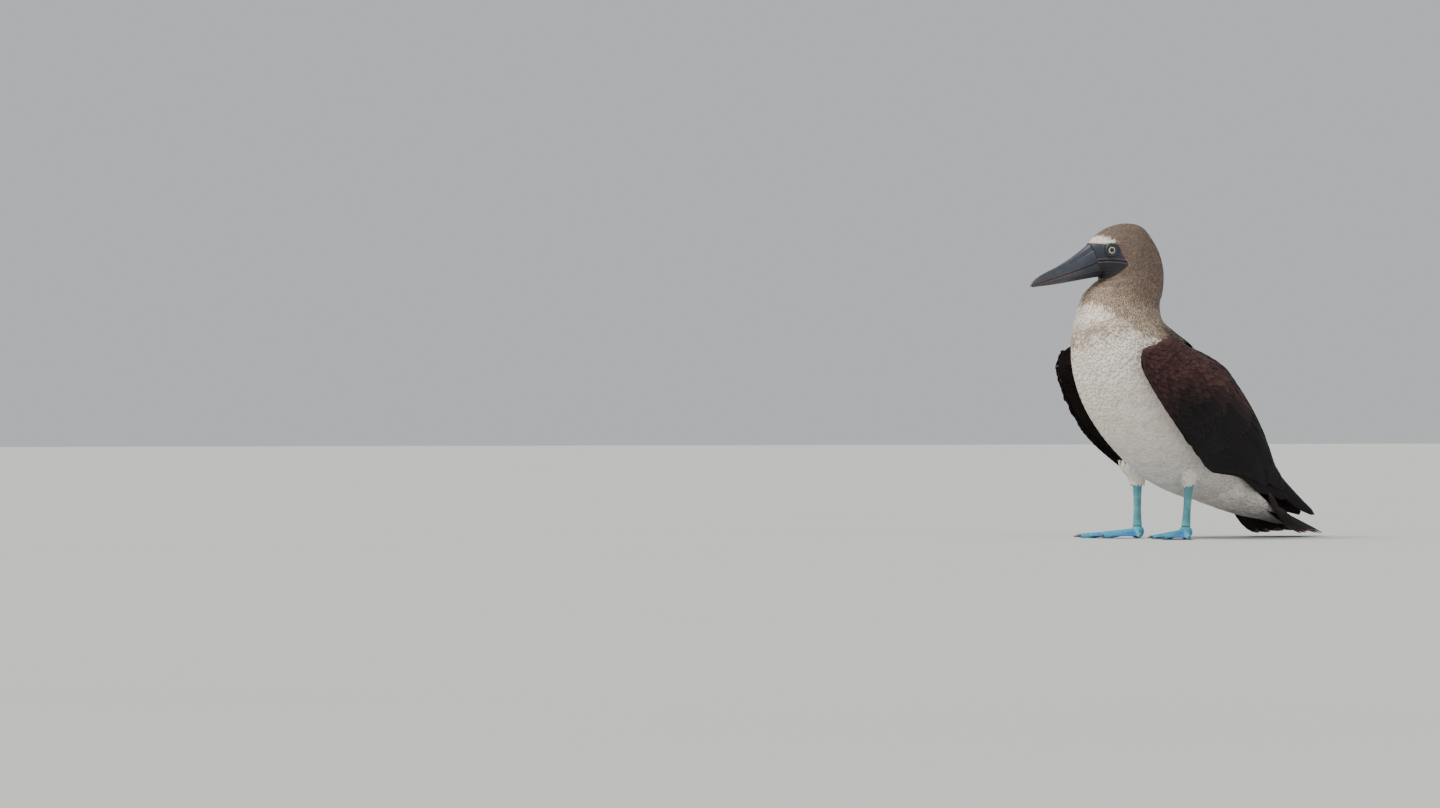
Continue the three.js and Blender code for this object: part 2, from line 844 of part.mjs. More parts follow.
for (const [name, leg] of Object.entries(STANCE)) {
  const thigh = legPiece(leg, THIGH_TOP, SHANK_TOP, thighRows, 6, 16).subtract(bodyCutter);
  addPiece(`thigh_${name}`, thigh, whiteFeather);
  const footSolid = foot(leg);
  addPiece(`foot_${name}`, footSolid, webSkin);
  const shank = legPiece(leg, SHANK_TOP - GAP, ANKLE_UP, shankRows, 6, 10);
  const clearOfFoot = ballAt(place(leg.bottom, leg.side, 8.4), 9 + GAP, 16, 10);
  addPiece(`shank_${name}`, shank.subtract(clearOfFoot).subtract(bodyCutter), legSkin);
  TOES.forEach((each, i) => {
    addPiece(`claw_${name}_${i + 1}`, claw(leg, each), clawHorn);
  });
}

// The part's origin is the middle of its footprint, on the floor.
bird.updateMatrixWorld(true);
const extent = new THREE.Box3().setFromObject(bird);
const rounded = (value) => Math.round(value / WELD) * WELD;
bird.position.set(
  rounded(-(extent.min.x + extent.max.x) / 2),
  rounded(-(extent.min.y + extent.max.y) / 2),
  rounded(-extent.min.z),
);

export default bird;
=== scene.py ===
import json
from math import atan, cos, pi, radians, sin

import bpy
import numpy as np
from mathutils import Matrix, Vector
from mathutils.kdtree import KDTree

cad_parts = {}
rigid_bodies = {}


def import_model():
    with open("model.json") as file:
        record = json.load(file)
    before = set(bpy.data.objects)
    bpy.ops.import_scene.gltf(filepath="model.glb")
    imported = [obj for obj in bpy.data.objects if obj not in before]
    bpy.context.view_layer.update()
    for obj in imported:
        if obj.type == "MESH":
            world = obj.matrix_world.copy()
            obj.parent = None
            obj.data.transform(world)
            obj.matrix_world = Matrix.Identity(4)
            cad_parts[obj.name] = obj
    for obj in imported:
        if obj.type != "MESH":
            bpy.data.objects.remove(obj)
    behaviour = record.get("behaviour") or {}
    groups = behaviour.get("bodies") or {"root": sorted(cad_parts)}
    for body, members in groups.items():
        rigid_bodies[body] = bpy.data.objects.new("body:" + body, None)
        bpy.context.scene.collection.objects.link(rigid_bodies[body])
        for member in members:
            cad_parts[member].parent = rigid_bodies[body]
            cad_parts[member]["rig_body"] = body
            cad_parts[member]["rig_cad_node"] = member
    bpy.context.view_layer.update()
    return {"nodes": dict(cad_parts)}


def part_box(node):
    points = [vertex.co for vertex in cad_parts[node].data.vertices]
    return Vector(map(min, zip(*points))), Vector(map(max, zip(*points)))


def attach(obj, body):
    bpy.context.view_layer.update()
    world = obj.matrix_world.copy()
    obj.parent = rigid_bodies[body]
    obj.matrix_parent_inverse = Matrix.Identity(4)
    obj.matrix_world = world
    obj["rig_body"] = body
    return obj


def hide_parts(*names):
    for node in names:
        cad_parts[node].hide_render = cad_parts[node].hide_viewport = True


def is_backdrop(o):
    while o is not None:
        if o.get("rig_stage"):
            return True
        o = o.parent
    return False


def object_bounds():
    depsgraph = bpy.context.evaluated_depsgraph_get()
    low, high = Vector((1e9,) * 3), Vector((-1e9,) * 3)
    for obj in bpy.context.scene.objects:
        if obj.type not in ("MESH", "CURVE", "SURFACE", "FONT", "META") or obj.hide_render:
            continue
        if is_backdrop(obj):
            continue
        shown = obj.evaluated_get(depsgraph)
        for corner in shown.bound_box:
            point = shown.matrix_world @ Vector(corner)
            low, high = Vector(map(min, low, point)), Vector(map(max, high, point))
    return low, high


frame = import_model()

# The skin: one soft surface over the trunk, neck, head and thighs of a blue footed booby that
# stands still and faces -Y, with its left side at +X. It is hidden by feathers, and naked and
# dark only on the face, where the mouth runs back to the gape.

# places are in mm: ahead of the middle of its stance, to its left, and above the floor; the
# left eye, a plain ball in the frame, says where the middle of the stance is
TURN_AXIS = 72
HEAD_TURN = radians(-14)
EYE_AHEAD, EYE_SIDE, EYE_UP, EYE_RADIUS = 21.5, 18.5, 366.4, 8
EYE_FORWARD = radians(15)


def turned(points, share):
    """Points of the head and neck after the head has turned to the bird's right."""
    angle = HEAD_TURN * share
    ahead = -points[..., 1] - TURN_AXIS
    side = points[..., 0]
    return np.stack(
        [
            side * np.cos(angle) + ahead * np.sin(angle),
            -TURN_AXIS - ahead * np.cos(angle) + side * np.sin(angle),
            points[..., 2],
        ],
        -1,
    )


def head_place(ahead, side, up):
    """A place on the head, from the upright line in the neck that the head turns about."""
    parts = np.broadcast_arrays(side, -(TURN_AXIS + np.asarray(ahead, float)), up)
    return turned(np.stack(parts, -1).astype(float), 1.0)


eye_low, eye_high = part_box("eye_left")
ORIGIN = np.array((eye_low + eye_high) / 2) - head_place(EYE_AHEAD, EYE_SIDE, EYE_UP) / 1000


def metres(points):
    return points / 1000 + ORIGIN


def millimetres(points):
    return (points - ORIGIN) * 1000


def on_head(points):
    """Places in the head's own directions: ahead of the turning line, to its left, and up."""
    ahead = -points[..., 1] - TURN_AXIS
    side = points[..., 0]
    back = -HEAD_TURN
    return np.stack(
        [
            ahead * np.cos(back) - side * np.sin(back),
            side * np.cos(back) + ahead * np.sin(back),
            points[..., 2],
        ],
        -1,
    )


def smooth_table(rows):
    """Smooth values between the rows of a table, whose first column is the position."""
    rows = np.array(rows, float)
    places, values = rows[:, 0], rows[:, 1:]
    last = len(places) - 1

    def read(at):
        at = np.clip(np.asarray(at, float), places[0], places[-1])
        after = np.clip(np.searchsorted(places, at, side="right"), 1, last)
        before = after - 1
        start, end = places[before], places[after]
        earlier = np.where(before > 0, before - 1, after)
        later = np.where(after < last, after + 1, before)
        half = (end - start) / 2
        pull = half / (start - places[earlier])
        push = half / (places[later] - end)
        p = (at - start) / (end - start)
        shares = (
            (-pull * p**3 + 2 * pull * p**2 - pull * p, earlier),
            ((1 + pull) * p**3 + (-1.5 - 2 * pull) * p**2 + (pull - 0.5) * p + 1, before),
            ((-1 - push) * p**3 + (1.5 + push) * p**2 + 0.5 * p, after),
            (push * p**3 - push * p**2, later),
        )
        return sum(share[..., None] * values[row] for share, row in shares)

    return read


def smooth_step(value, low, high):
    share = np.clip((value - low) / (high - low), 0, 1)
    return share * share * (3 - 2 * share)


# the body's form: flat sections from the rump (0) over the breast and the neck to the
# front of the face (21); those of the head fan out from a place in the throat
THROAT_AHEAD, THROAT_UP = 98.5, 326.5


def head_section(at, angle, near, far, half_width):
    reach = (near + far) / 2
    return [
        at,
        THROAT_AHEAD - reach * cos(radians(angle)),
        THROAT_UP + reach * sin(radians(angle)),
        90 - angle,
        half_width,
        (far - near) / 2,
        (far - near) / 2,
    ]


body_sections = smooth_table(
    [
        # place along it; its middle's place ahead and height, lean, half width, depth above, below
        [0, -128, 58, 22, 22, 9, 12],
        [1, -112, 66, 27, 36, 19, 25],
        [2, -90, 80, 33, 53, 31, 39],
        [3, -64, 99, 40, 67, 46, 55],
        [4, -36, 124, 46, 77, 59, 70],
        [5, -8, 154, 50, 82, 68, 79],
        [6, 18, 185, 53, 83, 72, 83],
        [7, 42, 214, 57, 80, 69, 79],
        [8, 62, 241, 64, 71, 61, 70],
        [9, 72, 264, 74, 60, 55, 63],
        [10, 73, 284, 83, 52, 53, 58],
        [11, 70.5, 301, 88, 48, 52, 53],
        [12, 66, 312, 92, 45, 50.5, 50.5],
        head_section(13, 3, -3.5, 85.5, 42),
        head_section(14, 15, -1, 87, 39.5),
        head_section(15, 28, 0.5, 88.5, 37.5),
        head_section(16, 40, 1.5, 89.5, 36),
        head_section(17, 52, 2.4, 90.5, 33.5),
        head_section(18, 64, 3.4, 83.5, 30),
        head_section(19, 77, 4.6, 73.5, 26),
        head_section(20, 92, 5.8, 62.5, 20.5),
        head_section(21, 108.4, 7, 52, 13.6),
    ]
)


def body_surface(at, round_, lift):
    """A point over the body; round_ is 0 at its left, a quarter turn on at its back."""
    at, round_, lift = np.broadcast_arrays(at, round_, lift)
    ahead, up, lean, half_width, above, below = np.moveaxis(body_sections(at), -1, 0)
    across, deep = np.cos(round_), np.sin(round_)
    back_power = 2.5 - 0.5 * smooth_step(at, 6, 10)
    belly_power = 1.8 + 0.25 * smooth_step(at, 4, 8)
    curve = 2 / np.where(deep > 0, back_power, belly_power)
    side = (half_width + lift) * np.sign(across) * np.abs(across) ** curve
    depth = np.sign(deep) * np.abs(deep) ** curve
    out = depth * (np.where(depth > 0, above, below) + lift)
    lean = np.radians(lean)
    points = np.stack([side, np.sin(lean) * out - ahead, up + np.cos(lean) * out], -1)
    return turned(points, smooth_step(at, 9, 13))


# the folded wings' form, which the skin and its coat keep clear of: a wing is laid out flat,
# back runs from its bend to its tip, low runs down across it, and it bulges out to the side
WRIST_AHEAD, WRIST_UP = 100, 224
WING_SLOPE = radians(33)
wing_form = smooth_table(
    [
        # back; how far out it reaches, and the middle and half the height of its bulge
        [-8, 80, 0, 60],
        [0, 83, 8, 68],
        [25, 86.5, 22, 92],
        [43, 89, 28, 102],
        [79, 92, 30, 107.5],
        [112, 90, 30, 116],
        [141, 85, 22, 112],
        [169, 78, 13, 98],
        [196, 73, 5, 83],
        [225, 67, -5, 61.6],
        [250, 60, -14, 40],
        [276, 51, -16, 22.4],
        [290, 45, -16, 18.6],
        [320, 36, -18, 16],
        [350, 27, -22, 12],
        [380, 19, -26, 9],
        [407, 12, -29, 8],
    ]
)
wing_edges = smooth_table(
    [
        # back; the lower and the upper edge
        [-8, -6, -14],
        [0, 6, -22],
        [10, 13.5, -33],
        [25, 22.5, -48],
        [43, 30, -62],
        [64, 37.5, -73],
        [94, 44.5, -80],
        [114, 47, -85],
        [141, 49.5, -88.5],
        [168, 51, -84],
        [196, 38, -77],
        [225, 24, -66],
        [250, 19, -53.5],
        [276, 15, -38],
        [290, 8, -34],
        [300, 0, -30],
        [330, -7, -30],
        [370, -16, -32],
        [400, -26, -33],
        [407, -29, -31.5],
    ]
)
def under_wing(points):
    """How far each place lies inside a folded wing's outer face, in mm; far outside its edges
    it is a large number."""
    ahead = WRIST_AHEAD + points[..., 1]
    fall = WRIST_UP - points[..., 2]
    back = ahead * cos(WING_SLOPE) + fall * sin(WING_SLOPE)
    low = fall * cos(WING_SLOPE) - ahead * sin(WING_SLOPE)
    low_edge, high_edge = np.moveaxis(wing_edges(back), -1, 0)
    reach, middle, half = np.moveaxis(wing_form(back), -1, 0)
    bulge = np.clip((middle - low) / half, 0, 0.999)
    side = reach * (1 - bulge**3) ** (1 / 3)
    covered = (low < low_edge) & (low > high_edge) & (back > -2) & (back < 300)
    return np.where(covered, side - np.abs(points[..., 0]), 1e3)


COAT_DEPTH = smooth_table([[0, 2.4], [8, 2.2], [11, 1.5], [14, 1.1], [21, 0.7]])
FLESH = ("torso", "neck", "head", "thigh_left", "thigh_right")


def deselect():
    for each in bpy.context.selected_objects:
        each.select_set(False)


def fused_copy(name, nodes, voxel, smoothing):
    """The frame's solids, joined and melted into one smooth mesh."""
    deselect()
    for node in nodes:
        source = frame["nodes"][node]
        twin = source.copy()
        twin.data = source.data.copy()
        twin.parent = None
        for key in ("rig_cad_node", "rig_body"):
            if key in twin:
                del twin[key]
        bpy.context.scene.collection.objects.link(twin)
        twin.select_set(True)
        bpy.context.view_layer.objects.active = twin
    if len(nodes) > 1:
        bpy.ops.object.join()
    piece = bpy.context.view_layer.objects.active
    piece.name = name
    piece.data.name = name
    piece.hide_render = False
    piece.hide_viewport = False
    piece.data.materials.clear()
    bpy.ops.object.mode_set(mode="EDIT")
    bpy.ops.mesh.select_all(action="SELECT")
    bpy.ops.mesh.remove_doubles(threshold=1e-5)
    bpy.ops.object.mode_set(mode="OBJECT")
    melt = piece.modifiers.new("melt", "REMESH")
    melt.mode = "VOXEL"
    melt.voxel_size = voxel
    bpy.ops.object.modifier_apply(modifier="melt")
    relax = piece.modifiers.new("relax", "SMOOTH")
    relax.factor = 0.5
    relax.iterations = smoothing
    bpy.ops.object.modifier_apply(modifier="relax")
    bpy.ops.object.shade_smooth()
    for layer in list(piece.data.uv_layers):
        piece.data.uv_layers.remove(layer)
    return piece


def mesh_points(piece):
    mesh = piece.data
    points = np.zeros(len(mesh.vertices) * 3)
    mesh.vertices.foreach_get("co", points)
    normals = np.zeros(len(mesh.vertices) * 3)
    mesh.vertices.foreach_get("normal", normals)
    return millimetres(points.reshape(-1, 3)), normals.reshape(-1, 3)


def move_points(piece, points):
    piece.data.vertices.foreach_set("co", metres(points).astype(np.float32).ravel())
    piece.data.update()


def corner_map(piece, name, per_point):
    """A UV map that gives each corner its point's place."""
    mesh = piece.data
    corners = np.zeros(len(mesh.loops), np.int32)
    mesh.loops.foreach_get("vertex_index", corners)
    layer = mesh.uv_layers.new(name=name)
    layer.data.foreach_set("uv", per_point[corners].astype(np.float32).ravel())


def point_value(piece, name, values):
    attribute = piece.data.attributes.new(name, "FLOAT", "POINT")
    attribute.data.foreach_set("value", np.asarray(values, np.float32).ravel())


def eye_axis(sign):
    """The middle of the left (1) or right (-1) eye, and the direction in which it looks."""
    facing = HEAD_TURN - sign * EYE_FORWARD
    look = np.array([sign * cos(facing), sign * sin(facing), 0.0])
    return head_place(EYE_AHEAD, sign * EYE_SIDE, EYE_UP), look


# the naked skin's upper and lower edges: distance ahead of the turning line, and height
FACE_TOP = smooth_table(
    [
        [3, 349.5], [6, 354], [9, 358.5], [11.5, 365], [13.5, 371.5], [18, 374.6], [28, 375],
        [46, 377],
    ]
)
FACE_BOTTOM = smooth_table(
    [[3, 349.5], [6, 345], [10, 341], [15, 336.3], [21, 331.5], [27, 328], [46, 326]]
)


def bare_face(points):
    """1 on the naked skin round the bill's root, the eye and the gape."""
    ahead, side, up = np.moveaxis(on_head(points), -1, 0)
    top = FACE_TOP(ahead)[..., 0]
    bottom = FACE_BOTTOM(ahead)[..., 0]
    inside = smooth_step(top - up, 0, 1.2) * smooth_step(up - bottom, 0, 1.2)
    return inside * smooth_step(ahead, 3.4, 4.4)


def markings_and_shade(points, at, round_):
    """How brown, streaked, dark-capped, white-browed and smudged each place is, and how grey the
    lower belly is painted as shade, 0 to 1.
    """
    down = -np.sin(round_)
    ahead, side, up = np.moveaxis(on_head(points), -1, 0)
    edge = 8.95 + np.where(down > 0, 2.5, 0.7) * down
    streak = smooth_step(at, edge - 0.55, edge + 0.45)
    mantle = smooth_step(-down, 0.14, 0.36) * (1 - smooth_step(at, 8.8, 10.4))
    brow = 376 + 7.5 * smooth_step(ahead, 12, 33)
    blaze = smooth_step(ahead, 15, 25) * smooth_step(up, 371, 373) * (
        1 - smooth_step(up, brow - 4, brow + 1.5)
    )
    smudge = 1.1 * np.exp(-(((at - 9.5 - 0.3 * side / 40) / 0.4) ** 2))
    return {
        "brown": mantle,
        "streak": streak * (1 - blaze),
        "cap": smooth_step(at - 1.6 * down, 9.4, 13.4),
        "blaze": blaze,
        "smudge": smudge * smooth_step(down, 0.15, 0.6),
        # painted shade: the lower belly and its underside are greyed, as if in shadow
        "painted_shade": 0.5 * smooth_step(7.6 - at, 0, 4) * smooth_step(down, -0.3, 0.6),
    }


GAPE_LINE = smooth_table([[2, 349.6], [9, 351.8], [20, 353.3], [33, 352.8], [50, 351.2]])
skin = fused_copy("skin", FLESH, 0.0014, 14)
# the face is cut finer than the rest, for its lids, mouth and folds
points, _ = mesh_points(skin)
ahead, side, up = np.moveaxis(on_head(points), -1, 0)
on_face = (ahead > 1) & (up > 324) & (up < 380)
for vertex, chosen in zip(skin.data.vertices, on_face):
    vertex.select = bool(chosen)
deselect()
skin.select_set(True)
bpy.ops.object.mode_set(mode="EDIT")
bpy.ops.mesh.select_mode(type="VERT")
bpy.ops.mesh.subdivide(number_cuts=2, smoothness=0.6)
bpy.ops.mesh.vertices_smooth(factor=0.5, repeat=3)
# and what the coat hides is left coarser
bpy.ops.mesh.select_all(action="INVERT")
bpy.ops.mesh.decimate(ratio=0.35)
bpy.ops.object.mode_set(mode="OBJECT")
points, normals = mesh_points(skin)
# where each point of the skin lies on the body's form
grid_at, grid_round = np.meshgrid(np.linspace(0, 21, 211), np.linspace(0, 2 * pi, 181)[:-1])
grid_at, grid_round = grid_at.ravel(), grid_round.ravel()
near = KDTree(len(grid_at))
for number, place in enumerate(body_surface(grid_at, grid_round, 0.0)):
    near.insert(place, number)
near.balance()
found = np.array([near.find(place)[1] for place in points])
skin_at, skin_round = grid_at[found], grid_round[found]
bare = bare_face(points)
ahead, side, up = np.moveaxis(on_head(points), -1, 0)
# the mouth runs on from the bill to the gape between two soft, swollen rims
from_mouth = up - GAPE_LINE(ahead)[:, 0]
mouth = smooth_step(ahead, 3.5, 7) * smooth_step(up, 335, 340) * bare
rims = mouth * np.exp(-(((np.abs(from_mouth) - 1.8) / 1.0) ** 2))
groove = mouth * 1.2 * np.exp(-((from_mouth / 0.7) ** 2))
# a few uneven folds of the bare throat skin below the mouth
folds = 0.13 * bare * smooth_step(-from_mouth, 4, 9) * np.sin(
    from_mouth * 1.5 + 1.6 * np.sin(ahead * 0.21 + 1) + side * 0.1
)
# the skin rises in a low mound round each eye and clasps the bill's root in front
orbit = np.zeros(len(points))
for sign in (1, -1):
    centre, look = eye_axis(sign)
    depth = (points - centre) @ look
    off = np.linalg.norm(points - centre - depth[:, None] * look, axis=1)
    orbit += 2.3 * np.exp(-(((off - 5.6) / 3.4) ** 2)) * (depth > -3)
clasp = smooth_step(skin_at, 20.1, 20.9) * bare
points = points + normals * (
    0.6 * rims + folds + orbit * bare + 0.45 * clasp - groove
    - COAT_DEPTH(skin_at)[:, 0] * (1 - bare)
)[:, None]
points = points + (head_place(1, 0, 0) - head_place(0, 0, 0)) * clasp[:, None] * 1.6
depth = under_wing(points)
points[:, 0] -= np.sign(points[:, 0]) * np.clip(4.5 - depth, 0, 12) * (depth < 100)
move_points(skin, points)
for key, values in markings_and_shade(points, skin_at, skin_round).items():
    point_value(skin, key, values)
point_value(skin, "bare", bare)
point_value(skin, "rims", rims)
point_value(skin, "jowl", smooth_step(-from_mouth, -9, 5) * smooth_step(40 - ahead, -8, 12))
corner_map(skin, "OFBake", np.stack([skin_round / (2 * pi), skin_at / 21], -1) * 0.98 + 0.01)
unwrap = skin.data.uv_layers["OFBake"].data
for face in skin.data.polygons:
    corners = [unwrap[loop] for loop in face.loop_indices]
    if max(corner.uv.x for corner in corners) - min(corner.uv.x for corner in corners) > 0.5:
        for corner in corners:
            if corner.uv.x < 0.5:
                corner.uv.x = 0.995
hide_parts(*FLESH)
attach(skin, "root")


class Paint:
    """A value in a material's nodes; arithmetic on it adds Math nodes."""

    def __init__(self, tree, socket=None):
        self.tree = tree
        self.socket = socket

    def node(self, kind, settings=(), inputs=(), out=0):
        made = self.tree.nodes.new(kind)
        for name, value in dict(settings).items():
            setattr(made, name, value)
        for name, value in dict(inputs).items():
            if isinstance(value, Paint):
                self.tree.links.new(value.socket, made.inputs[name])
            else:
                made.inputs[name].default_value = value
        return Paint(self.tree, made.outputs[out])

    def math(self, operation, first, second=0.0):
        return self.node("ShaderNodeMath", {"operation": operation}, {0: first, 1: second})

    def __add__(self, other):
        return self.math("ADD", self, other)

    __radd__ = __add__

    def __sub__(self, other):
        return self.math("SUBTRACT", self, other)

    def __rsub__(self, other):
        return self.math("SUBTRACT", other, self)

    def __mul__(self, other):
        return self.math("MULTIPLY", self, other)

    __rmul__ = __mul__

    def __abs__(self):
        return self.math("ABSOLUTE", self)

    def step(self, low, high):
        """0 below low, 1 above high, smooth between."""
        return self.node(
            "ShaderNodeMapRange",
            {"interpolation_type": "SMOOTHSTEP"},
            {"Value": self, "From Min": low, "From Max": high},
        )

    def mix(self, first, second):
        """The first colour where this is 0 and the second where it is 1."""
        return self.node(
            "ShaderNodeMix", {"data_type": "RGBA"}, {0: self, 6: first, 7: second}, 2
        )

    def waves(self):
        """Up from 0 to 1 and down again with each whole number."""
        return abs(self.math("FRACT", self) - 0.5) * 2

    def bump(self, strength, depth):
        """A surface that stands out by this share of a depth in metres."""
        return self.node(
            "ShaderNodeBump", {}, {"Strength": strength, "Distance": depth, "Height": self}
        )

    def place(self, scale=(1, 1, 1), turn=(0, 0, 0)):
        """The place on the bird, in metres, turned and scaled."""
        here = self.node("ShaderNodeTexCoord", out="Object")
        return self.node(
            "ShaderNodeMapping", {}, {"Vector": here, "Scale": scale, "Rotation": turn}
        )

    def noise(self, where, scale, detail=2.0):
        return self.node(
            "ShaderNodeTexNoise", {}, {"Vector": where, "Scale": scale, "Detail": detail}
        )

    def value(self, name):
        return self.node("ShaderNodeAttribute", {"attribute_name": name}, out="Fac")

    def map(self, name):
        """The two numbers of a UV map."""
        here = self.node("ShaderNodeUVMap", {"uv_map": name})
        return [self.node("ShaderNodeSeparateXYZ", {}, {0: here}, axis) for axis in (0, 1)]


def colour(text):
    """A colour as light, from the six digits that a screen shows."""
    shown = [int(text[i : i + 2], 16) / 255 for i in (0, 2, 4)]
    return (*[c / 12.92 if c < 0.04045 else ((c + 0.055) / 1.055) ** 2.4 for c in shown], 1)


def new_finish(name, roughness=0.6, **sockets):
    material = bpy.data.materials.new(name)
    material.use_nodes = True
    shader = material.node_tree.nodes["Principled BSDF"]
    shader.inputs["Roughness"].default_value = roughness
    for key, value in sockets.items():
        shader.inputs[key.replace("_", " ")].default_value = value
    return material, Paint(material.node_tree), shader


def connect(paint, shader, **links):
    for name, value in links.items():
        paint.tree.links.new(value.socket, shader.inputs[name.replace("_", " ")])


def plumage_colour(paint, tone):
    """White, buff, streaked or brown, as the markings say, and greyed with painted shade on the
    belly and vent.
    """
    here = paint.place()
    cloud = paint.noise(here, 60, 3.0)
    fine = paint.noise(here, 420, 2.0)
    white = (cloud * 0.6 + fine * 0.25 + tone * 0.15).step(0.35, 0.7)
    white = white.mix(colour("f7eddf"), colour("e2d5c4"))
    # painted shade: the white turns grey on the belly and vent, as if in shadow
    white = (paint.value("painted_shade") * (0.7 + cloud * 0.6)).mix(white, colour("a9a6a7"))
    light = (cloud * 0.5 + tone * 0.5).step(0.25, 0.75)
    pale = light.mix(colour("d3bfa6"), colour("b09880"))
    deep = light.mix(colour("97816f"), colour("735f50"))
    buff = paint.value("cap").mix(pale, deep)
    brown = (cloud * 0.6 + tone * 0.4).step(0.3, 0.7).mix(colour("3f2a23"), colour("291c19"))
    smudge = paint.value("smudge") * (cloud * 0.8 + fine * 0.6).step(0.42, 0.75) * 0.8
    base = smudge.mix(white, colour("98836f"))
    base = paint.value("streak").mix(base, buff)
    base = paint.value("brown").mix(base, brown)
    blaze = paint.value("blaze") * (0.8 + cloud * 0.25)
    return blaze.mix(base, cloud.mix(colour("f4ead9"), colour("d8c8b0"))), here


skin_finish, paint, shader = new_finish("skin", 0.85)
base, here = plumage_colour(paint, paint.noise(paint.place(), 200))
pores = paint.noise(here, 900, 3.0)
brow_skin = pores.step(0.35, 0.7).mix(colour("20242e"), colour("2b303c"))
jowl_skin = pores.step(0.35, 0.7).mix(colour("0d0b11"), colour("17151d"))
face = paint.value("jowl").mix(brow_skin, jowl_skin)
# painted highlight: the swollen rims of the mouth are lighter, as if lit along their edges
face = (paint.value("rims") * 0.75).mix(face, colour("51474d"))
connect(
    paint,
    shader,
    Base_Color=paint.value("bare").mix(base, face),
    Roughness=0.85 - paint.value("bare") * 0.35,
    Normal=pores.bump(0.25, 0.0004),
)
skin.data.materials.append(skin_finish)

# The small feathers: soft plumes all over the body, from fine streaks on the face to broad
# white ones on the breast. They are rooted in the skin in staggered rows and lie back along
# the trunk. Each is a thin closed blade, and those of each stretch of the body make one piece.
dice = np.random.default_rng(5120)
# position: length, half width, distance between roots
SIZES = smooth_table(
    [
        [0, 22, 4.6, 5.2],
        [4, 20, 4.4, 5.0],
        [8, 15, 3.4, 4.0],
        [10, 11.5, 2.4, 3.0],
        [12, 9, 1.8, 2.4],
        [15, 7.5, 1.4, 2.0],
        [18, 6, 1.15, 1.75],
        [21, 4, 0.9, 1.5],
    ]
)
# shares of a plume's length, and of its half width there
PLUME_SHAPE = np.array([[0, 0.25, 0.55, 0.82, 1.0], [0.45, 0.9, 1.0, 0.72, 0.12]])


def ruffle(points):
    """Soft waves all over the coat, from -1 to 1."""
    x, y, z = np.moveaxis(points, -1, 0)
    return (
        np.sin(x / 3.1 + 2 * np.sin(z / 5.3))
        + np.sin(z / 2.9 + 1.7 * np.sin(y / 4.7))
        + np.sin(y / 3.3 + 1.9 * np.sin(x / 6.1))
    ) / 3


def mesh_piece(name, points, faces):
    """A mesh from points in mm and a list of faces of one size each."""
    mesh = bpy.data.meshes.new(name)
    counts = np.concatenate([np.full(len(group), group.shape[1]) for group in faces])
    corners = np.concatenate([group.ravel() for group in faces])
    mesh.vertices.add(len(points))
    mesh.vertices.foreach_set("co", metres(points).astype(np.float32).ravel())
    mesh.loops.add(len(corners))
    mesh.loops.foreach_set("vertex_index", corners.astype(np.int32))
    mesh.polygons.add(len(counts))
    starts = np.concatenate([[0], np.cumsum(counts)[:-1]])
    mesh.polygons.foreach_set("loop_start", starts.astype(np.int32))
    mesh.polygons.foreach_set("use_smooth", np.ones(len(counts), bool))
    mesh.update(calc_edges=True)
    mesh.validate()
    piece = bpy.data.objects.new(name, mesh)
    bpy.context.scene.collection.objects.link(piece)
    return piece


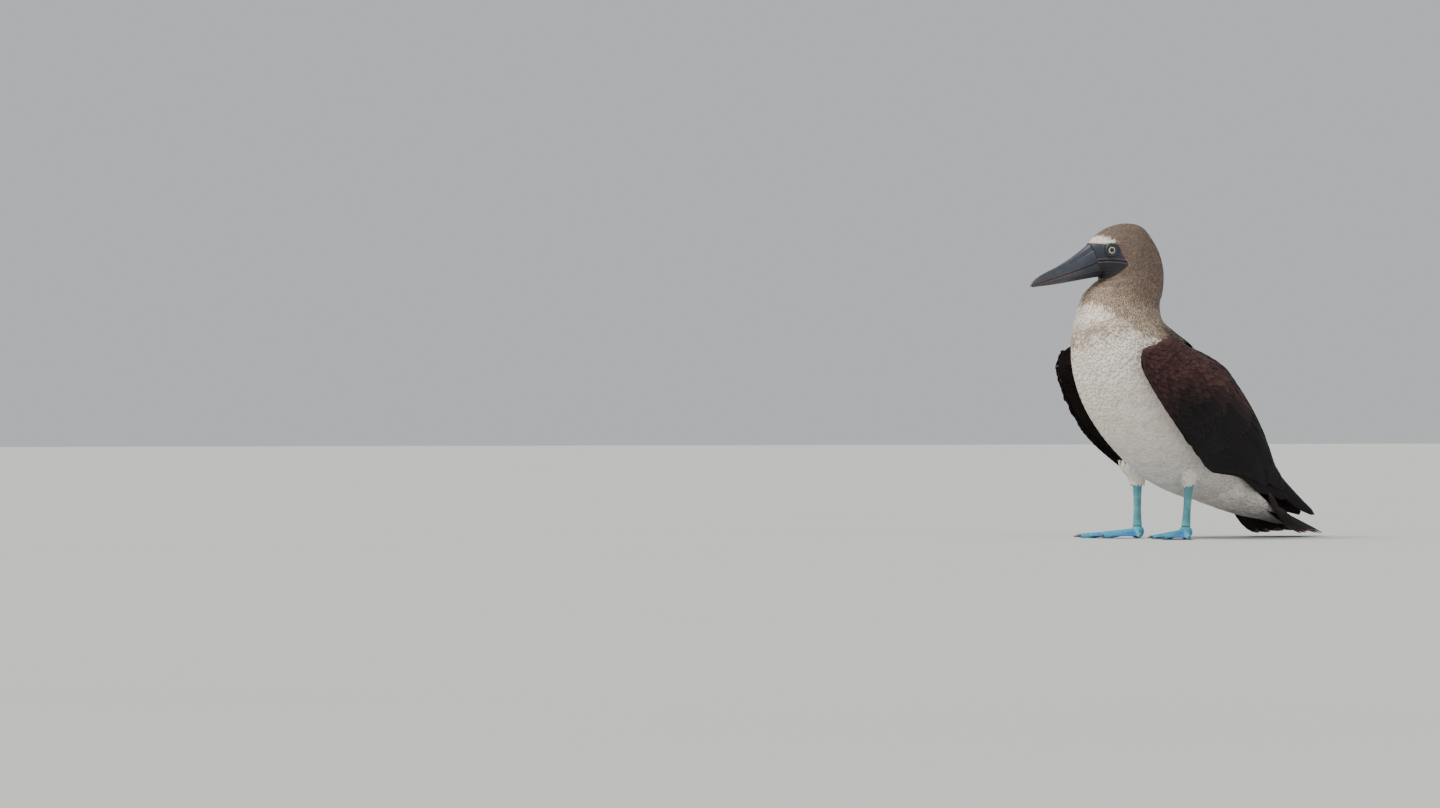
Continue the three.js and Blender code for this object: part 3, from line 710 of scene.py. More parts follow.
def plumes(name, surface, along, beside, lift, half, sides=3, ridge=0.3, tilt=0.0, thick=0.25,
           patch=None, values=()):
    """Blades along lines of places on a surface. Each of along, beside, lift and half has a
    row for each plume and a column for each station from its root to its tip."""
    count, stations = along.shape
    shares = np.linspace(-1, 1, sides)
    step = 0.002
    spread = np.linalg.norm(
        surface(along, beside + step, lift) - surface(along, beside - step, lift), axis=-1
    ) / (2 * step)
    turn = half / np.maximum(spread, 1e-3)
    tilt = np.broadcast_to(np.asarray(tilt, float), (count,))[:, None, None]
    profile = ridge * (1 - np.abs(shares))[None, None, :] + tilt * shares[None, None, :]
    top = surface(
        along[..., None], beside[..., None] + turn[..., None] * shares, lift[..., None] + profile
    )
    inner = slice(1, sides - 1)
    below = thick * (1 - shares[inner] ** 2 * 0.5)
    under = surface(
        along[..., None],
        beside[..., None] + turn[..., None] * shares[inner],
        lift[..., None] + profile[..., inner] - below,
    )
    rings = np.concatenate([top, under[:, :, ::-1]], 2)
    size = rings.shape[2]
    points = rings.reshape(-1, 3)
    index = np.arange(count * stations * size).reshape(count, stations, size)
    here, there = index[:, :-1], index[:, 1:]
    quads = np.stack(
        [here, np.roll(here, -1, 2), np.roll(there, -1, 2), there], -1
    ).reshape(-1, 4)
    roots = index[:, 0, ::-1].reshape(-1, size)
    tips = index[:, -1].reshape(-1, size)
    normals = np.cross(
        surface(along[:1] + step, beside[:1], lift[:1]) - surface(along[:1], beside[:1], lift[:1]),
        surface(along[:1], beside[:1] + step, lift[:1]) - surface(along[:1], beside[:1], lift[:1]),
    )
    up = surface(along[:1], beside[:1], lift[:1] + 1) - surface(along[:1], beside[:1], lift[:1])
    forward = along[0, -1] > along[0, 0]
    outward = (np.sum(normals[0, 0] * up[0, 0]) > 0) == forward
    if outward:
        quads, roots, tips = quads[:, ::-1], roots[:, ::-1], tips[:, ::-1]
    piece = mesh_piece(name, points, [quads, roots, tips])
    mesh = piece.data
    ends = np.zeros(len(mesh.edges) * 2, np.int32)
    mesh.edges.foreach_get("vertices", ends)
    local = ends.reshape(-1, 2) % size
    rim = (local[:, 0] == local[:, 1]) & ((local[:, 0] == 0) | (local[:, 0] == sides - 1))
    sharp = mesh.attributes.new("sharp_edge", "BOOLEAN", "EDGE")
    sharp.data.foreach_set("value", rim)
    across = np.concatenate([shares, shares[inner][::-1]]) / 2 + 0.5
    vane = np.stack(np.broadcast_arrays(across[None, :], np.linspace(0, 1, stations)[:, None]), -1)
    vane = np.broadcast_to(vane, (count, stations, size, 2))
    if patch is None:
        columns = int(np.ceil(np.sqrt(count)))
        number = np.arange(count)
        corner = np.stack([number % columns, number // columns], -1) / columns
        bake = corner[:, None, None] + (0.06 + 0.88 * vane) / columns
    else:
        bake = patch[:, None, None] + (vane - 0.5) * 0.003
    corner_map(piece, "OFBake", bake.reshape(-1, 2))
    corner_map(piece, "Vane", vane.reshape(-1, 2))
    for key, each in dict(values).items():
        point_value(piece, key, np.repeat(each, stations * size))
    return piece


def body_rows(start, end):
    """Staggered roots between two places along the body, about evenly far apart."""
    at, roots = start, []
    row = 0
    while at < end:
        gap = SIZES(at)[2]
        ring_round = np.linspace(0, 2 * pi, 241)
        ring = body_surface(np.full(241, at), ring_round, 0.0)
        length = np.concatenate([[0], np.cumsum(np.linalg.norm(np.diff(ring, axis=0), axis=1))])
        number = int(length[-1] / gap)
        marks = (np.arange(number) + 0.5 * (row % 2)) / number * length[-1]
        marks = (marks + dice.uniform(-0.3, 0.3, number) * gap) % length[-1]
        rounds = np.interp(marks, length, ring_round)
        roots.append(np.stack([np.full(number, at), rounds], -1))
        advance = np.linalg.norm(
            body_surface(np.full(8, at + 0.05), np.linspace(0, 2 * pi, 9)[:-1], 0.0)
            - body_surface(np.full(8, at), np.linspace(0, 2 * pi, 9)[:-1], 0.0),
            axis=1,
        ).mean()
        at += 0.05 * gap * 0.8 / advance
        row += 1
    roots = np.concatenate(roots)
    roots[:, 0] += dice.uniform(-0.02, 0.02, len(roots))
    return roots


def body_plumes(name, start, end):
    roots = body_rows(start, end)
    at, round_ = roots.T
    length, half, _ = SIZES(at).T
    place = body_surface(at, round_, 0.0)
    tip = body_surface(at - length / 34, round_, 0.3)
    keep = (bare_face(place) < 0.4) & (under_wing(tip) > 2.5) & (under_wing(place) > 2.5)
    at, round_, length, half, place = at[keep], round_[keep], length[keep], half[keep], place[keep]
    count = len(at)
    length = length * dice.uniform(0.82, 1.15, count)
    half = half * dice.uniform(0.85, 1.15, count)
    slant = dice.normal(0, 0.05, count) + ruffle(place + 37) * (0.06 + 0.24 * (at > 9) * (at < 14))
    step = 0.01
    speed = np.linalg.norm(
        body_surface(at + step, round_, 0.0) - body_surface(at - step, round_, 0.0), axis=-1
    ) / (2 * step)
    swing = np.linalg.norm(
        body_surface(at, round_ + step, 0.0) - body_surface(at, round_ - step, 0.0), axis=-1
    ) / (2 * step)
    shares, widths = PLUME_SHAPE
    along = at[:, None] - length[:, None] * shares / np.maximum(speed, 4)[:, None]
    beside = round_[:, None] + (slant * length / np.maximum(swing, 8))[:, None] * shares
    depth = COAT_DEPTH(at)[:, 0]
    loose = smooth_step(at, 8.8, 10.8)
    stand = depth * (
        1.16 + (0.05 + 0.11 * loose) * dice.random(count) + (0.1 + 0.12 * loose) * ruffle(place)
    )
    lift = -depth[:, None] * 1.1 + stand[:, None] * shares**0.5
    # each feather takes its marking from a place near its own, so borders are ragged
    astray = place + dice.normal(0, 1.3, place.shape)
    beyond = at + dice.normal(0, 0.13, count)
    values = markings_and_shade(astray, beyond, round_ + dice.normal(0, 0.03, count))
    values["tone"] = dice.random(count)
    patch = np.stack([round_ / (2 * pi), at / 21], -1) * 0.98 + 0.01
    piece = plumes(
        name, body_surface, along, beside, lift, half[:, None] * widths,
        ridge=0.12, thick=0.16, patch=patch, values=values,
    )
    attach(piece, "root")
    return piece


plume_finish, paint, shader = new_finish("small_feathers", 0.8)
tone = paint.value("tone")
across, along_vane = paint.map("Vane")
base, here = plumage_colour(paint, tone)
middle = 1 - (abs(across - 0.5) * 2).step(0.2, 0.9)
inner = 1 - along_vane.step(0.6, 1.0)
cap = paint.value("cap")
shaft = middle * inner * (paint.noise(here, 260, 2.0) * 0.6 + 0.7)
streaked = (shaft * paint.value("streak") * (0.55 + tone * 0.75 + cap * 0.15)).step(0.12, 0.62)
pale_streak = tone.mix(colour("4c3a2e"), colour("836b58"))
dark_streak = tone.mix(colour("3a2c24"), colour("55443a"))
dark = cap.mix(pale_streak, dark_streak)
base = (streaked * 0.9).mix(base, dark)
rim = along_vane.step(0.78, 1.0) * 0.3 * (1 - cap * 0.55)
base = (rim * (1 - paint.value("brown"))).mix(base, colour("e9dfd0"))
fleck = along_vane.step(0.72, 1.0) * tone.step(0.55, 0.95) * paint.value("brown")
base = (fleck * 0.65).mix(base, colour("b9a798"))
barb = (along_vane * 34 + abs(across - 0.5) * 26).waves()
connect(paint, shader, Base_Color=base, Normal=(barb * 0.5).bump(0.25, 0.0002))
for name, start, end, slot in (
    ("rump_feathers", 0.02, 4.6, "white_plumage"),
    ("breast_feathers", 4.6, 9.3, "white_plumage"),
    ("neck_feathers", 9.3, 13.2, "streaked_plumage"),
    ("head_feathers", 13.2, 20.9, "streaked_plumage"),
):
    body_plumes(name, start, end).data.materials.append(plume_finish)

# The thighs' short trousers: small white feathers that hang over the tops of the shanks.
STANCE = {"left": (36, -15, -9, 28), "right": (-36, 9, 9, -28)}
SHANK_TOP, ANKLE_UP, THIGH_TOP = 74, 13, 100
thigh_rows = smooth_table([[0, 24, 28], [0.5, 17, 20], [0.85, 10, 12], [1, 8, 9.5], [1.3, 7, 8]])


def thigh_surface(side, top, bottom):
    def surface(down, round_, lift):
        down, round_, lift = np.broadcast_arrays(down, round_, lift)
        half_width, half_depth = np.moveaxis(thigh_rows(down), -1, 0)
        up = THIGH_TOP + (SHANK_TOP - THIGH_TOP) * down
        ahead = top + (bottom - top) * (SHANK_TOP - up) / (SHANK_TOP - ANKLE_UP)
        return np.stack(
            [
                side + (half_width + lift) * np.cos(round_),
                -(ahead + (half_depth + lift) * np.sin(round_)),
                up,
            ],
            -1,
        )

    return surface


for which, (side, top, bottom, turn) in STANCE.items():
    down, round_ = np.meshgrid(np.linspace(0.0, 0.86, 9), np.linspace(0, 2 * pi, 27)[:-1])
    down = down.ravel() + dice.uniform(-0.03, 0.03, down.size)
    round_ = round_.ravel() + dice.uniform(-0.15, 0.15, round_.size)
    shares, widths = PLUME_SHAPE
    count = len(down)
    reach = dice.uniform(9, 12, count) / (THIGH_TOP - SHANK_TOP)
    along = down[:, None] + reach[:, None] * shares
    beside = round_[:, None] + dice.normal(0, 0.1, count)[:, None] * shares
    lift = -1.6 + (2.3 + 0.8 * dice.random(count)[:, None]) * np.minimum(shares * 1.4, 1)
    trousers = plumes(
        "trousers_" + which, thigh_surface(side, top, bottom), along, beside, lift,
        2.4 * np.ones((count, 1)) * widths, ridge=0.25, thick=0.2,
        values={"tone": dice.random(count)},
    )
    trousers.data.materials.append(plume_finish)
    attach(trousers, "root")

# The eyes: pale yellow irises with a small black pupil under a clear wet cornea, each in a
# thin dark ring of lid skin that stands a little out of the face.
def face_out(piece):
    """Turns the faces of a closed piece outwards."""
    deselect()
    piece.select_set(True)
    bpy.context.view_layer.objects.active = piece
    bpy.ops.object.mode_set(mode="EDIT")
    bpy.ops.mesh.select_all(action="SELECT")
    bpy.ops.mesh.normals_make_consistent(inside=False)
    bpy.ops.object.mode_set(mode="OBJECT")


def look_out(points, sign):
    """Turns points about the upright axis towards where an eye looks."""
    look = eye_axis(sign)[1]
    level = np.array([-look[1], look[0], 0.0])
    return points[:, :1] * level + points[:, 1:2] * np.array([0, 0, 1.0]) + points[:, 2:] * look


for which, sign in (("left", 1), ("right", -1)):
    centre, look = eye_axis(sign)
    middle = Vector(metres(centre))
    deselect()
    bpy.ops.mesh.primitive_uv_sphere_add(segments=64, ring_count=40, radius=EYE_RADIUS / 1000)
    eye = bpy.context.active_object
    eye.name = "eyeball_" + which
    points, _ = mesh_points(eye)
    points = (points + ORIGIN * 1000) / EYE_RADIUS
    # the ball's pole is turned to look out, and the cornea swells in front of the iris
    swell = smooth_step(points[:, 2], 0.62, 0.95) * 0.05
    points = look_out(points * (1 + swell)[:, None] * EYE_RADIUS, sign)
    move_points(eye, points + centre)
    face_out(eye)
    bpy.ops.object.shade_smooth()
    eye_finish, paint, shader = new_finish(
        "eye_" + which, 0.1, Specular_IOR_Level=0.3, Coat_Weight=0.5, Coat_Roughness=0.03
    )
    here = paint.node("ShaderNodeTexCoord", out="Object")
    from_middle = paint.node(
        "ShaderNodeVectorMath", {"operation": "SUBTRACT"}, {0: here, 1: tuple(middle)}
    )
    depth = paint.node(
        "ShaderNodeVectorMath", {"operation": "DOT_PRODUCT"},
        {0: from_middle, 1: tuple(look)}, "Value",
    )
    reach = paint.node("ShaderNodeVectorMath", {"operation": "LENGTH"}, {0: from_middle}, "Value")
    off = paint.math("SQRT", paint.math("MAXIMUM", reach * reach - depth * depth, 0.0)) * 1000
    fibre = paint.noise(here, 1500, 2.0)
    iris = (off * 0.16 + fibre * 0.25).step(0.35, 1.1).mix(colour("dcdabf"), colour("a7a286"))
    ball = off.step(4.7, 5.2).mix(iris, colour("0d0b0b"))
    pupil = (off + fibre * 0.5).step(2.9, 3.3).mix(colour("020202"), ball)
    connect(paint, shader, Base_Color=pupil)
    eye.data.materials.append(eye_finish)
    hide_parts("eye_" + which)
    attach(eye, "root")

lid_finish, paint, shader = new_finish("lid_skin", 0.5)
creases = paint.noise(paint.place(), 1400, 3.0)
connect(
    paint,
    shader,
    Base_Color=creases.step(0.3, 0.7).mix(colour("1a1c24"), colour("2e313c")),
    Normal=creases.bump(0.4, 0.0002),
)
for which, sign in (("left", 1), ("right", -1)):
    deselect()
    bpy.ops.mesh.primitive_torus_add(
        major_segments=64, minor_segments=16, major_radius=0.0062, minor_radius=0.0013
    )
    lid = bpy.context.active_object
    lid.name = "lid_" + which
    points, _ = mesh_points(lid)
    points = points + ORIGIN * 1000
    centre, look = eye_axis(sign)
    # an almond rather than a ring: drawn out towards the front and the back
    points[:, 0] *= 1.0 + 0.10 * np.abs(points[:, 0] / 6.6)
    points[:, 1] *= 0.97
    move_points(lid, look_out(points, sign) + centre + look * 5.1)
    face_out(lid)
    bpy.ops.object.shade_smooth()
    lid.data.materials.append(lid_finish)
    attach(lid, "root")

# The bill: a long tapered bill of dull blue-grey horn in two halves, with a groove that
# sets off the ridge, brownish cutting edges, and no open nostrils.
bill_finish, paint, shader = new_finish("bill_horn", 0.38, Coat_Weight=0.25, Coat_Roughness=0.3)
along, height = paint.map("Bill")
here = paint.place()
grain = paint.noise(paint.place(scale=(1, 0.15, 0.6), turn=(0, 0, radians(14))), 900, 4.0)
stain = paint.noise(here, 120, 3.0)
horn = (stain * 0.6 + grain * 0.4).step(0.3, 0.7).mix(colour("232833"), colour("373d4a"))
horn = (along.step(0.6, 1.0) * 0.6).mix(horn, colour("3d3338"))
shade = (1 - along.step(0.05, 0.5)) * (1 - height.step(0.1, 0.5))
horn = (shade * 0.65).mix(horn, colour("1a181f"))
edge = (1 - height.step(0.02, 0.34)) * along.step(0.2, 0.5) * (0.55 + stain * 0.5)
horn = edge.mix(horn, colour("574643"))
groove = 1 - abs(height - 0.66 - along * 0.06).step(0.0, 0.05)
groove = groove * (1 - along.step(0.8, 0.95))
# painted shade: the groove is darkened as if in shadow in its recess
horn = (groove * 0.7).mix(horn, colour("15161c"))
connect(
    paint,
    shader,
    Base_Color=horn,
    Roughness=0.3 + grain * 0.22,
    Normal=(grain * 0.25 - groove * 0.9).bump(0.55, 0.0006),
)
BILL_ROOT, BILL_TIP = 42.9, 126.5
# a line across the bill: its place ahead on the ridge, and the heights of ridge, mouth and keel
bill_rows = smooth_table(
    [
        [42.9, 375.9, 351.6, 333.4],
        [57, 366.7, 345.8, 330.8],
        [75.5, 355.2, 339, 327],
        [93.3, 344.8, 332.6, 323.4],
        [108, 337.4, 327, 320.9],
        [118.6, 330.4, 322.8, 319.4],
        [123.5, 325.6, 320.4, 318.6],
        [126.5, 320.6, 319, 318.2],
    ]
)
for node in ("bill_upper", "bill_lower"):
    bill = fused_copy(node.replace("bill", "bill_horn"), [node], 0.00045, 10)
    points, _ = mesh_points(bill)
    head = on_head(points)
    # the lines lean back at the bill's root, where it meets the face
    lean = 0.332 * np.clip((BILL_TIP - 3 - head[:, 0]) / 80, 0, 1)
    station = head[:, 0] + lean * (375.9 - head[:, 2])
    crest, mouth, keel = np.moveaxis(bill_rows(station), -1, 0)
    far = crest if node == "bill_upper" else keel
    high = np.clip((head[:, 2] - mouth) / (far - mouth), 0, 1)
    if node == "bill_lower":
        high = high * 0.5
    corner_map(bill, "Bill", np.stack([(station - BILL_ROOT) / (BILL_TIP - BILL_ROOT), high], -1))
    bill.data.materials.append(bill_finish)
    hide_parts(node)
    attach(bill, "root")

# The folded wings: arm and hand, covered by tiers of dark brown feathers from the long
# primaries at the tip up to the small coverts of the shoulder, each tier over the next.
wing_depth = smooth_table(
    [
        [-8, 3],
        [2, 12],
        [14, 26],
        [30, 34],
        [100, 34],
        [200, 18],
        [250, 8],
        [276, 5],
        [300, 4],
        [407, 1.6],
    ]
)


def wing_point(back, low, depth, sign):
    reach, middle, half = np.moveaxis(wing_form(back), -1, 0)
    bulge = np.clip((middle - low) / half, 0, 0.999)
    side = reach * (1 - bulge**3) ** (1 / 3)
    return np.stack(
        [
            sign * np.maximum(side - depth, 0.7),
            back * cos(WING_SLOPE) - low * sin(WING_SLOPE) - WRIST_AHEAD,
            WRIST_UP - back * sin(WING_SLOPE) - low * cos(WING_SLOPE),
        ],
        -1,
    )


def wing_surface(sign):
    """A point over a wing's outer face; across is 0 at its upper edge and 1 at its lower."""

    def surface(back, across, lift):
        back, across, lift = np.broadcast_arrays(back, across, lift)
        low_edge, high_edge = np.moveaxis(wing_edges(back), -1, 0)
        low = high_edge + (low_edge - high_edge) * across
        point = wing_point(back, low, 0.0, sign)
        length = wing_point(back + 1, low, 0.0, sign) - wing_point(back - 1, low, 0.0, sign)
        width = wing_point(back, low + 1, 0.0, sign) - wing_point(back, low - 1, 0.0, sign)
        normal = np.cross(length, width) * -sign
        normal /= np.maximum(np.linalg.norm(normal, axis=-1, keepdims=True), 1e-9)
        point = point + normal * lift[..., None]
        point[..., 0] = sign * np.maximum(sign * point[..., 0], 0.5)
        return point

    return surface


def ringed_mesh(name, rings):
    """A closed skin through rings of points."""
    count, size = rings.shape[:2]
    index = np.arange(count * size).reshape(count, size)
    here, there = index[:-1], index[1:]
    quads = np.stack([here, np.roll(here, -1, 1), np.roll(there, -1, 1), there], -1).reshape(-1, 4)
    piece = mesh_piece(name, rings.reshape(-1, 3), [quads, index[:1, ::-1], index[-1:]])
    face_out(piece)
    return piece


def wing_core(sign):
    """The wing's own thickness as rings from the bend to the tip, under its feathers."""
    backs = -7 + 410 * np.linspace(0, 1, 90) ** 1.3
    shares = np.linspace(0, 1, 25)
    rings = []
    for back in backs:
        low_edge, high_edge = wing_edges(back)
        low = high_edge + (low_edge - high_edge) * (0.01 + 0.98 * shares)
        depth = wing_depth(back)[0]
        rim = min(2.5, depth * 0.6)
        sunk = min(1.0, depth * 0.3)
        outer = wing_point(np.full(25, back), low, sunk, sign)
        inner = wing_point(
            np.full(25, back), low, np.minimum(depth, rim + (low_edge - low) * 1.3), sign
        )
        rings.append(np.concatenate([outer, inner[::-1]]))
    return np.array(rings)


def spread_tips(rows, number):
    """Tips evenly along a tier's line, from its first row to its last."""
    table = smooth_table([[k, *row] for k, row in enumerate(rows)])
    return table(np.linspace(0, len(rows) - 1, number))


# tier: tips from the lowest feather to the highest, number, length, half width, lift, tilt
WING_TIERS = {
    "primaries": (
        [[404, 0.55], [390, 0.42], [374, 0.34], [356, 0.28], [337, 0.24], [317, 0.22]],
        10, 165, 6.8, 0.2, 0.0,
    ),
    "lower_edge": (
        [[336, 0.93], [312, 0.95], [286, 0.965], [262, 0.97], [240, 0.975], [218, 0.98]],
        7, 112, 6.5, -0.2, 0.0,
    ),
    "secondaries": (
        [
            [190, 0.96], [215, 0.93], [241, 0.9], [267, 0.83], [288, 0.68],
            [291, 0.49], [280, 0.32], [260, 0.15],
        ],
        18, 128, 9.5, 1.0, 0.5,
    ),
    "tertials": (
        [[318, 0.5], [312, 0.3], [302, 0.14], [292, 0.06], [282, 0.015]],
        9, 100, 9.5, 2.2, 0.3,
    ),
    "greater_coverts": (
        [[146, 0.93], [166, 0.82], [182, 0.68], [193, 0.53], [200, 0.39], [201, 0.24]],
        15, 80, 8.8, 1.5, 0.5,
    ),
    "median_coverts": (
        [[96, 0.93], [112, 0.8], [126, 0.65], [138, 0.5], [147, 0.34]],
        14, 60, 8.2, 1.9, 0.5,
    ),
}
VANE_SHAPE = np.array(
    [
        [0, 0.12, 0.28, 0.45, 0.62, 0.76, 0.87, 0.95, 1.0],
        [0.55, 0.8, 0.95, 1.0, 1.0, 0.95, 0.8, 0.55, 0.14],
    ]
)
wing_finish, paint, shader = new_finish("wing_feathers", 0.72, Specular_IOR_Level=0.2)
tone = paint.value("tone")
dark = paint.value("dark")
across, along = paint.map("Vane")
here = paint.place()
cloud = paint.noise(here, 35, 3.0)
red = (cloud * 0.6 + tone * 0.4).step(0.3, 0.75).mix(colour("3a2320"), colour("5b3c37"))
# painted shade: where the dark value is high the feathers turn nearly black, as shade over the
# lower and hinder wing
black = tone.mix(colour("0b0808"), colour("150f10"))
base = dark.mix(red, black)
shaft = 1 - abs(across - 0.5).step(0.012, 0.045)
base = (shaft * 0.55).mix(base, colour("140e0e"))
barb = (along * 60 + abs(across - 0.5) * 34 + paint.noise(here, 300, 1.0) * 0.8).waves()
fringe = abs(across - 0.5).step(0.36, 0.5) * 0.5 + along.step(0.9, 1.0) * 0.7
fringe = fringe * (1 - dark * 0.7) * (0.5 + paint.noise(here, 500, 2.0) * 0.8)
base = (fringe * 0.45).mix(base, colour("6b5750"))
pale_tip = along.step(0.8, 1.0) * paint.value("fleck")
pale_tip = (pale_tip * (0.4 + paint.noise(here, 350, 2.0))).step(0.25, 0.85)
base = (pale_tip * 0.55).mix(base, colour("b5a498"))
base = (barb * 0.12).mix(base, colour("0e0a0a"))
connect(paint, shader, Base_Color=base, Normal=(barb * 0.5 - shaft).bump(0.35, 0.0003))
core_finish, paint, shader = new_finish("wing_core", 0.9, Specular_IOR_Level=0.1)
# barbs and the edges of hidden feathers show as fine streaks along the wing
slope = (-WING_SLOPE, 0, 0)
down = paint.noise(paint.place(scale=(1, 0.05, 1), turn=slope), 420, 3.0)
edges = paint.noise(paint.place(scale=(1, 0.02, 1), turn=slope), 90, 1.0)
streaks = down.step(0.3, 0.7) * 0.6 + edges.step(0.4, 0.6) * 0.4
connect(
    paint,
    shader,
    Base_Color=streaks.mix(colour("0d0a0a"), colour("1e1615")),
    Normal=(down * 0.5 + edges).bump(0.4, 0.0005),
)


def wing_darkness(back, across):
    """1 on the lower and hinder feathers, painted nearly black as shade, 0 on the reddish upper
    ones.
    """
    return smooth_step(across + back * 0.0027, 0.52, 0.95) * (0.3 + 0.7 * smooth_step(back, 15, 85))


def below_top(surface, back, reach):
    """The share of the way across a wing that lies reach mm below its upper edge."""
    grid = np.linspace(0, 1, 300) ** 1.7
    edge = surface(back[:, None], grid[None, :], 0.0)
    far = np.cumsum(np.linalg.norm(np.diff(edge, axis=1), axis=-1), axis=1)
    return np.array([np.interp(mm, [0, *row], grid) for mm, row in zip(reach, far)])


for which, sign in (("left", 1), ("right", -1)):
    surface = wing_surface(sign)
    core = ringed_mesh("wing_core_" + which, wing_core(sign))
    core.data.materials.append(core_finish)
    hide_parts("wing_" + which)
    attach(core, "root")
    shares, widths = VANE_SHAPE
    for tier, (rows, number, length, half, lift, tilt) in WING_TIERS.items():
        tips = spread_tips(rows, number)
        tips[:, 0] += dice.uniform(-1.5, 1.5, number)
        back = tips[:, :1] - length * (1 - shares)
        high = (1 - tips[:, 1:]) * 0.8
        beside = tips[:, 1:] + dice.uniform(-0.012, 0.012, (number, 1)) * (1 - shares)
        lifts = -1.2 + (1.2 + lift + high + dice.uniform(-0.1, 0.1, (number, 1))) * np.minimum(
            1, shares * 1.6
        )
        piece = plumes(
            tier + "_" + which, surface, np.maximum(back, -4), beside, lifts,
            half * dice.uniform(0.92, 1.08, (number, 1)) * widths,
            sides=7, ridge=0.5, tilt=tilt, thick=0.35,
            values={"tone": dice.random(number), "dark": wing_darkness(tips[:, 0], tips[:, 1])},
        )
        piece.data.materials.append(wing_finish)
        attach(piece, "root")
    # lesser coverts: rows of small rounded feathers over the arm and down the leading edge
    backs, acrosses = [], []
    back = 130.0
    while back > -8:
        low_edge, high_edge = wing_edges(back)
        number = max(int((low_edge - high_edge) / (5.0 + 0.03 * back)), 3)
        row = (np.arange(number + 1) + 0.5 * (len(backs) % 2)) / number
        backs.append(np.full(number + 1, back))
        acrosses.append(np.minimum(0.01 + row * 0.97, 0.985))
        back -= 4.2 + 0.03 * max(back, 0)
    back = np.concatenate(backs)
    across = np.concatenate(acrosses)
    count = len(back)
    back = back + dice.uniform(-1.2, 1.2, count)
    length = 12 + 0.11 * np.maximum(back, 0)
    short_shares, short_widths = PLUME_SHAPE
    along = back[:, None] - 0.3 * length[:, None] + length[:, None] * short_shares
    beside = across[:, None] + dice.normal(0, 0.012, count)[:, None] * short_shares
    half = (3.0 + 0.025 * np.maximum(back, 0)) * dice.uniform(0.9, 1.1, count)
    lifts = -1.3 + (3.4 + 0.004 * (130 - back[:, None])) * np.minimum(1, short_shares * 1.5)
    piece = plumes(
        "lesser_coverts_" + which, surface, along, beside, lifts, half[:, None] * short_widths,
        sides=5, ridge=0.35, tilt=0.25, thick=0.25,
        values={"tone": dice.random(count), "dark": wing_darkness(back, across)},
    )
    piece.data.materials.append(wing_finish)
    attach(piece, "root")
    # scapulars: rows of longer feathers that run from the shoulder along the wing's top
    rows = np.array(
        [
            (34 + 13.5 * k + 6.7 * (line % 2), 1.5 + 10.5 * line)
            for line in range(6)
            for k in range((20, 19, 18, 16, 14, 12)[line])
        ]
    )
    count = len(rows)
    tip = rows[:, 0] + dice.uniform(-2, 2, count)
    length = 36 + 0.12 * tip
    root = np.maximum(tip - length, 3)
    reach = rows[:, 1] + dice.uniform(-1.5, 1.5, count)
    along = root[:, None] + (tip - root)[:, None] * short_shares
    top, bottom = below_top(surface, root, reach), below_top(surface, tip, reach)
    beside = top[:, None] + (bottom - top)[:, None] * short_shares
    lifts = -1.3 + (4.6 - 0.25 * rows[:, 1:] / 10.5) * np.minimum(1, short_shares * 1.5)
    piece = plumes(
        "scapulars_" + which, surface, along, beside, lifts,
        (6.6 + 0.008 * tip[:, None]) * dice.uniform(0.9, 1.1, (count, 1)) * short_widths,
        sides=7, ridge=0.45, tilt=0.3, thick=0.3,
        values={
            "tone": dice.random(count),
            "dark": 0.15 + 0.75 * smooth_step(tip, 130, 270),
            "fleck": (rows[:, 1] < 14) * (tip < 190) * dice.random(count),
        },
    )
    piece.data.materials.append(wing_finish)
    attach(piece, "root")

# The back: soft brown feathers that close the back between the folded wings, with pale
# tips on the rump, and run down over the root of the tail.
back_line = smooth_table(
    [
        # distance down the back; place behind and height of its middle; half width; its edges
        [0, 24, 237, 29, 23, 234],
        [22, 43.5, 233.5, 29, 42.5, 231],
        [50, 68, 224, 30, 67, 221.5],
        [77, 88.5, 205.5, 27, 87, 203],
        [106, 108.5, 184.5, 25, 107, 182],
        [138, 126.5, 159.5, 24, 124, 154],
        [167, 140, 134.5, 30, 134, 121],
        [196, 150.5, 108, 37, 143, 89],
        [216, 157, 89, 39, 149, 68],
        [238, 166, 67, 38, 158, 49],
        [262, 181, 45, 34, 178, 30],
        [284, 199, 36, 33, 197, 21],
        [310, 222, 26, 36, 221, 9],
    ]
)


def back_surface(down, across, lift):
    down, across, lift = np.broadcast_arrays(down, across, lift)

    def bare_back(down, across):
        behind, up, half, edge_behind, edge_up = np.moveaxis(back_line(down), -1, 0)
        side = half * np.sin(1.2 * across) / sin(1.2)
        share = across**2
        return np.stack(
            [side, behind + (edge_behind - behind) * share, up + (edge_up - up) * share], -1
        )

    normal = np.cross(
        bare_back(down, across + 0.01) - bare_back(down, across - 0.01),
        bare_back(down + 1, across) - bare_back(down - 1, across),
    )
    normal /= np.linalg.norm(normal, axis=-1, keepdims=True)
    return bare_back(down, across) + normal * lift[..., None]


shares = np.linspace(-1.05, 1.05, 17)
downs = np.linspace(4, 274, 64)[:, None]
back_skin = ringed_mesh(
    "back_skin",
    np.concatenate(
        [back_surface(downs, shares, -0.6), back_surface(downs, shares[::-1], -3.6)], 1
    ),
)
back_skin.data.materials.append(core_finish)
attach(back_skin, "root")
backs, acrosses = [], []
down = 7.0
while down < 270:
    half = back_line(down)[2]
    number = int(2.2 * half / 6.5)
    row = (np.arange(number + 1) + 0.5 * (len(backs) % 2)) / number * 2.2 - 1.1
    backs.append(np.full(number + 1, down))
    acrosses.append(row)
    down += 6.0
down = np.concatenate(backs)
across = np.clip(np.concatenate(acrosses), -1.12, 1.12)
count = len(down)
down = down + dice.uniform(-1.5, 1.5, count)
shares, widths = PLUME_SHAPE
length = dice.uniform(21, 27, count)
along = down[:, None] + length[:, None] * (shares - 0.25)
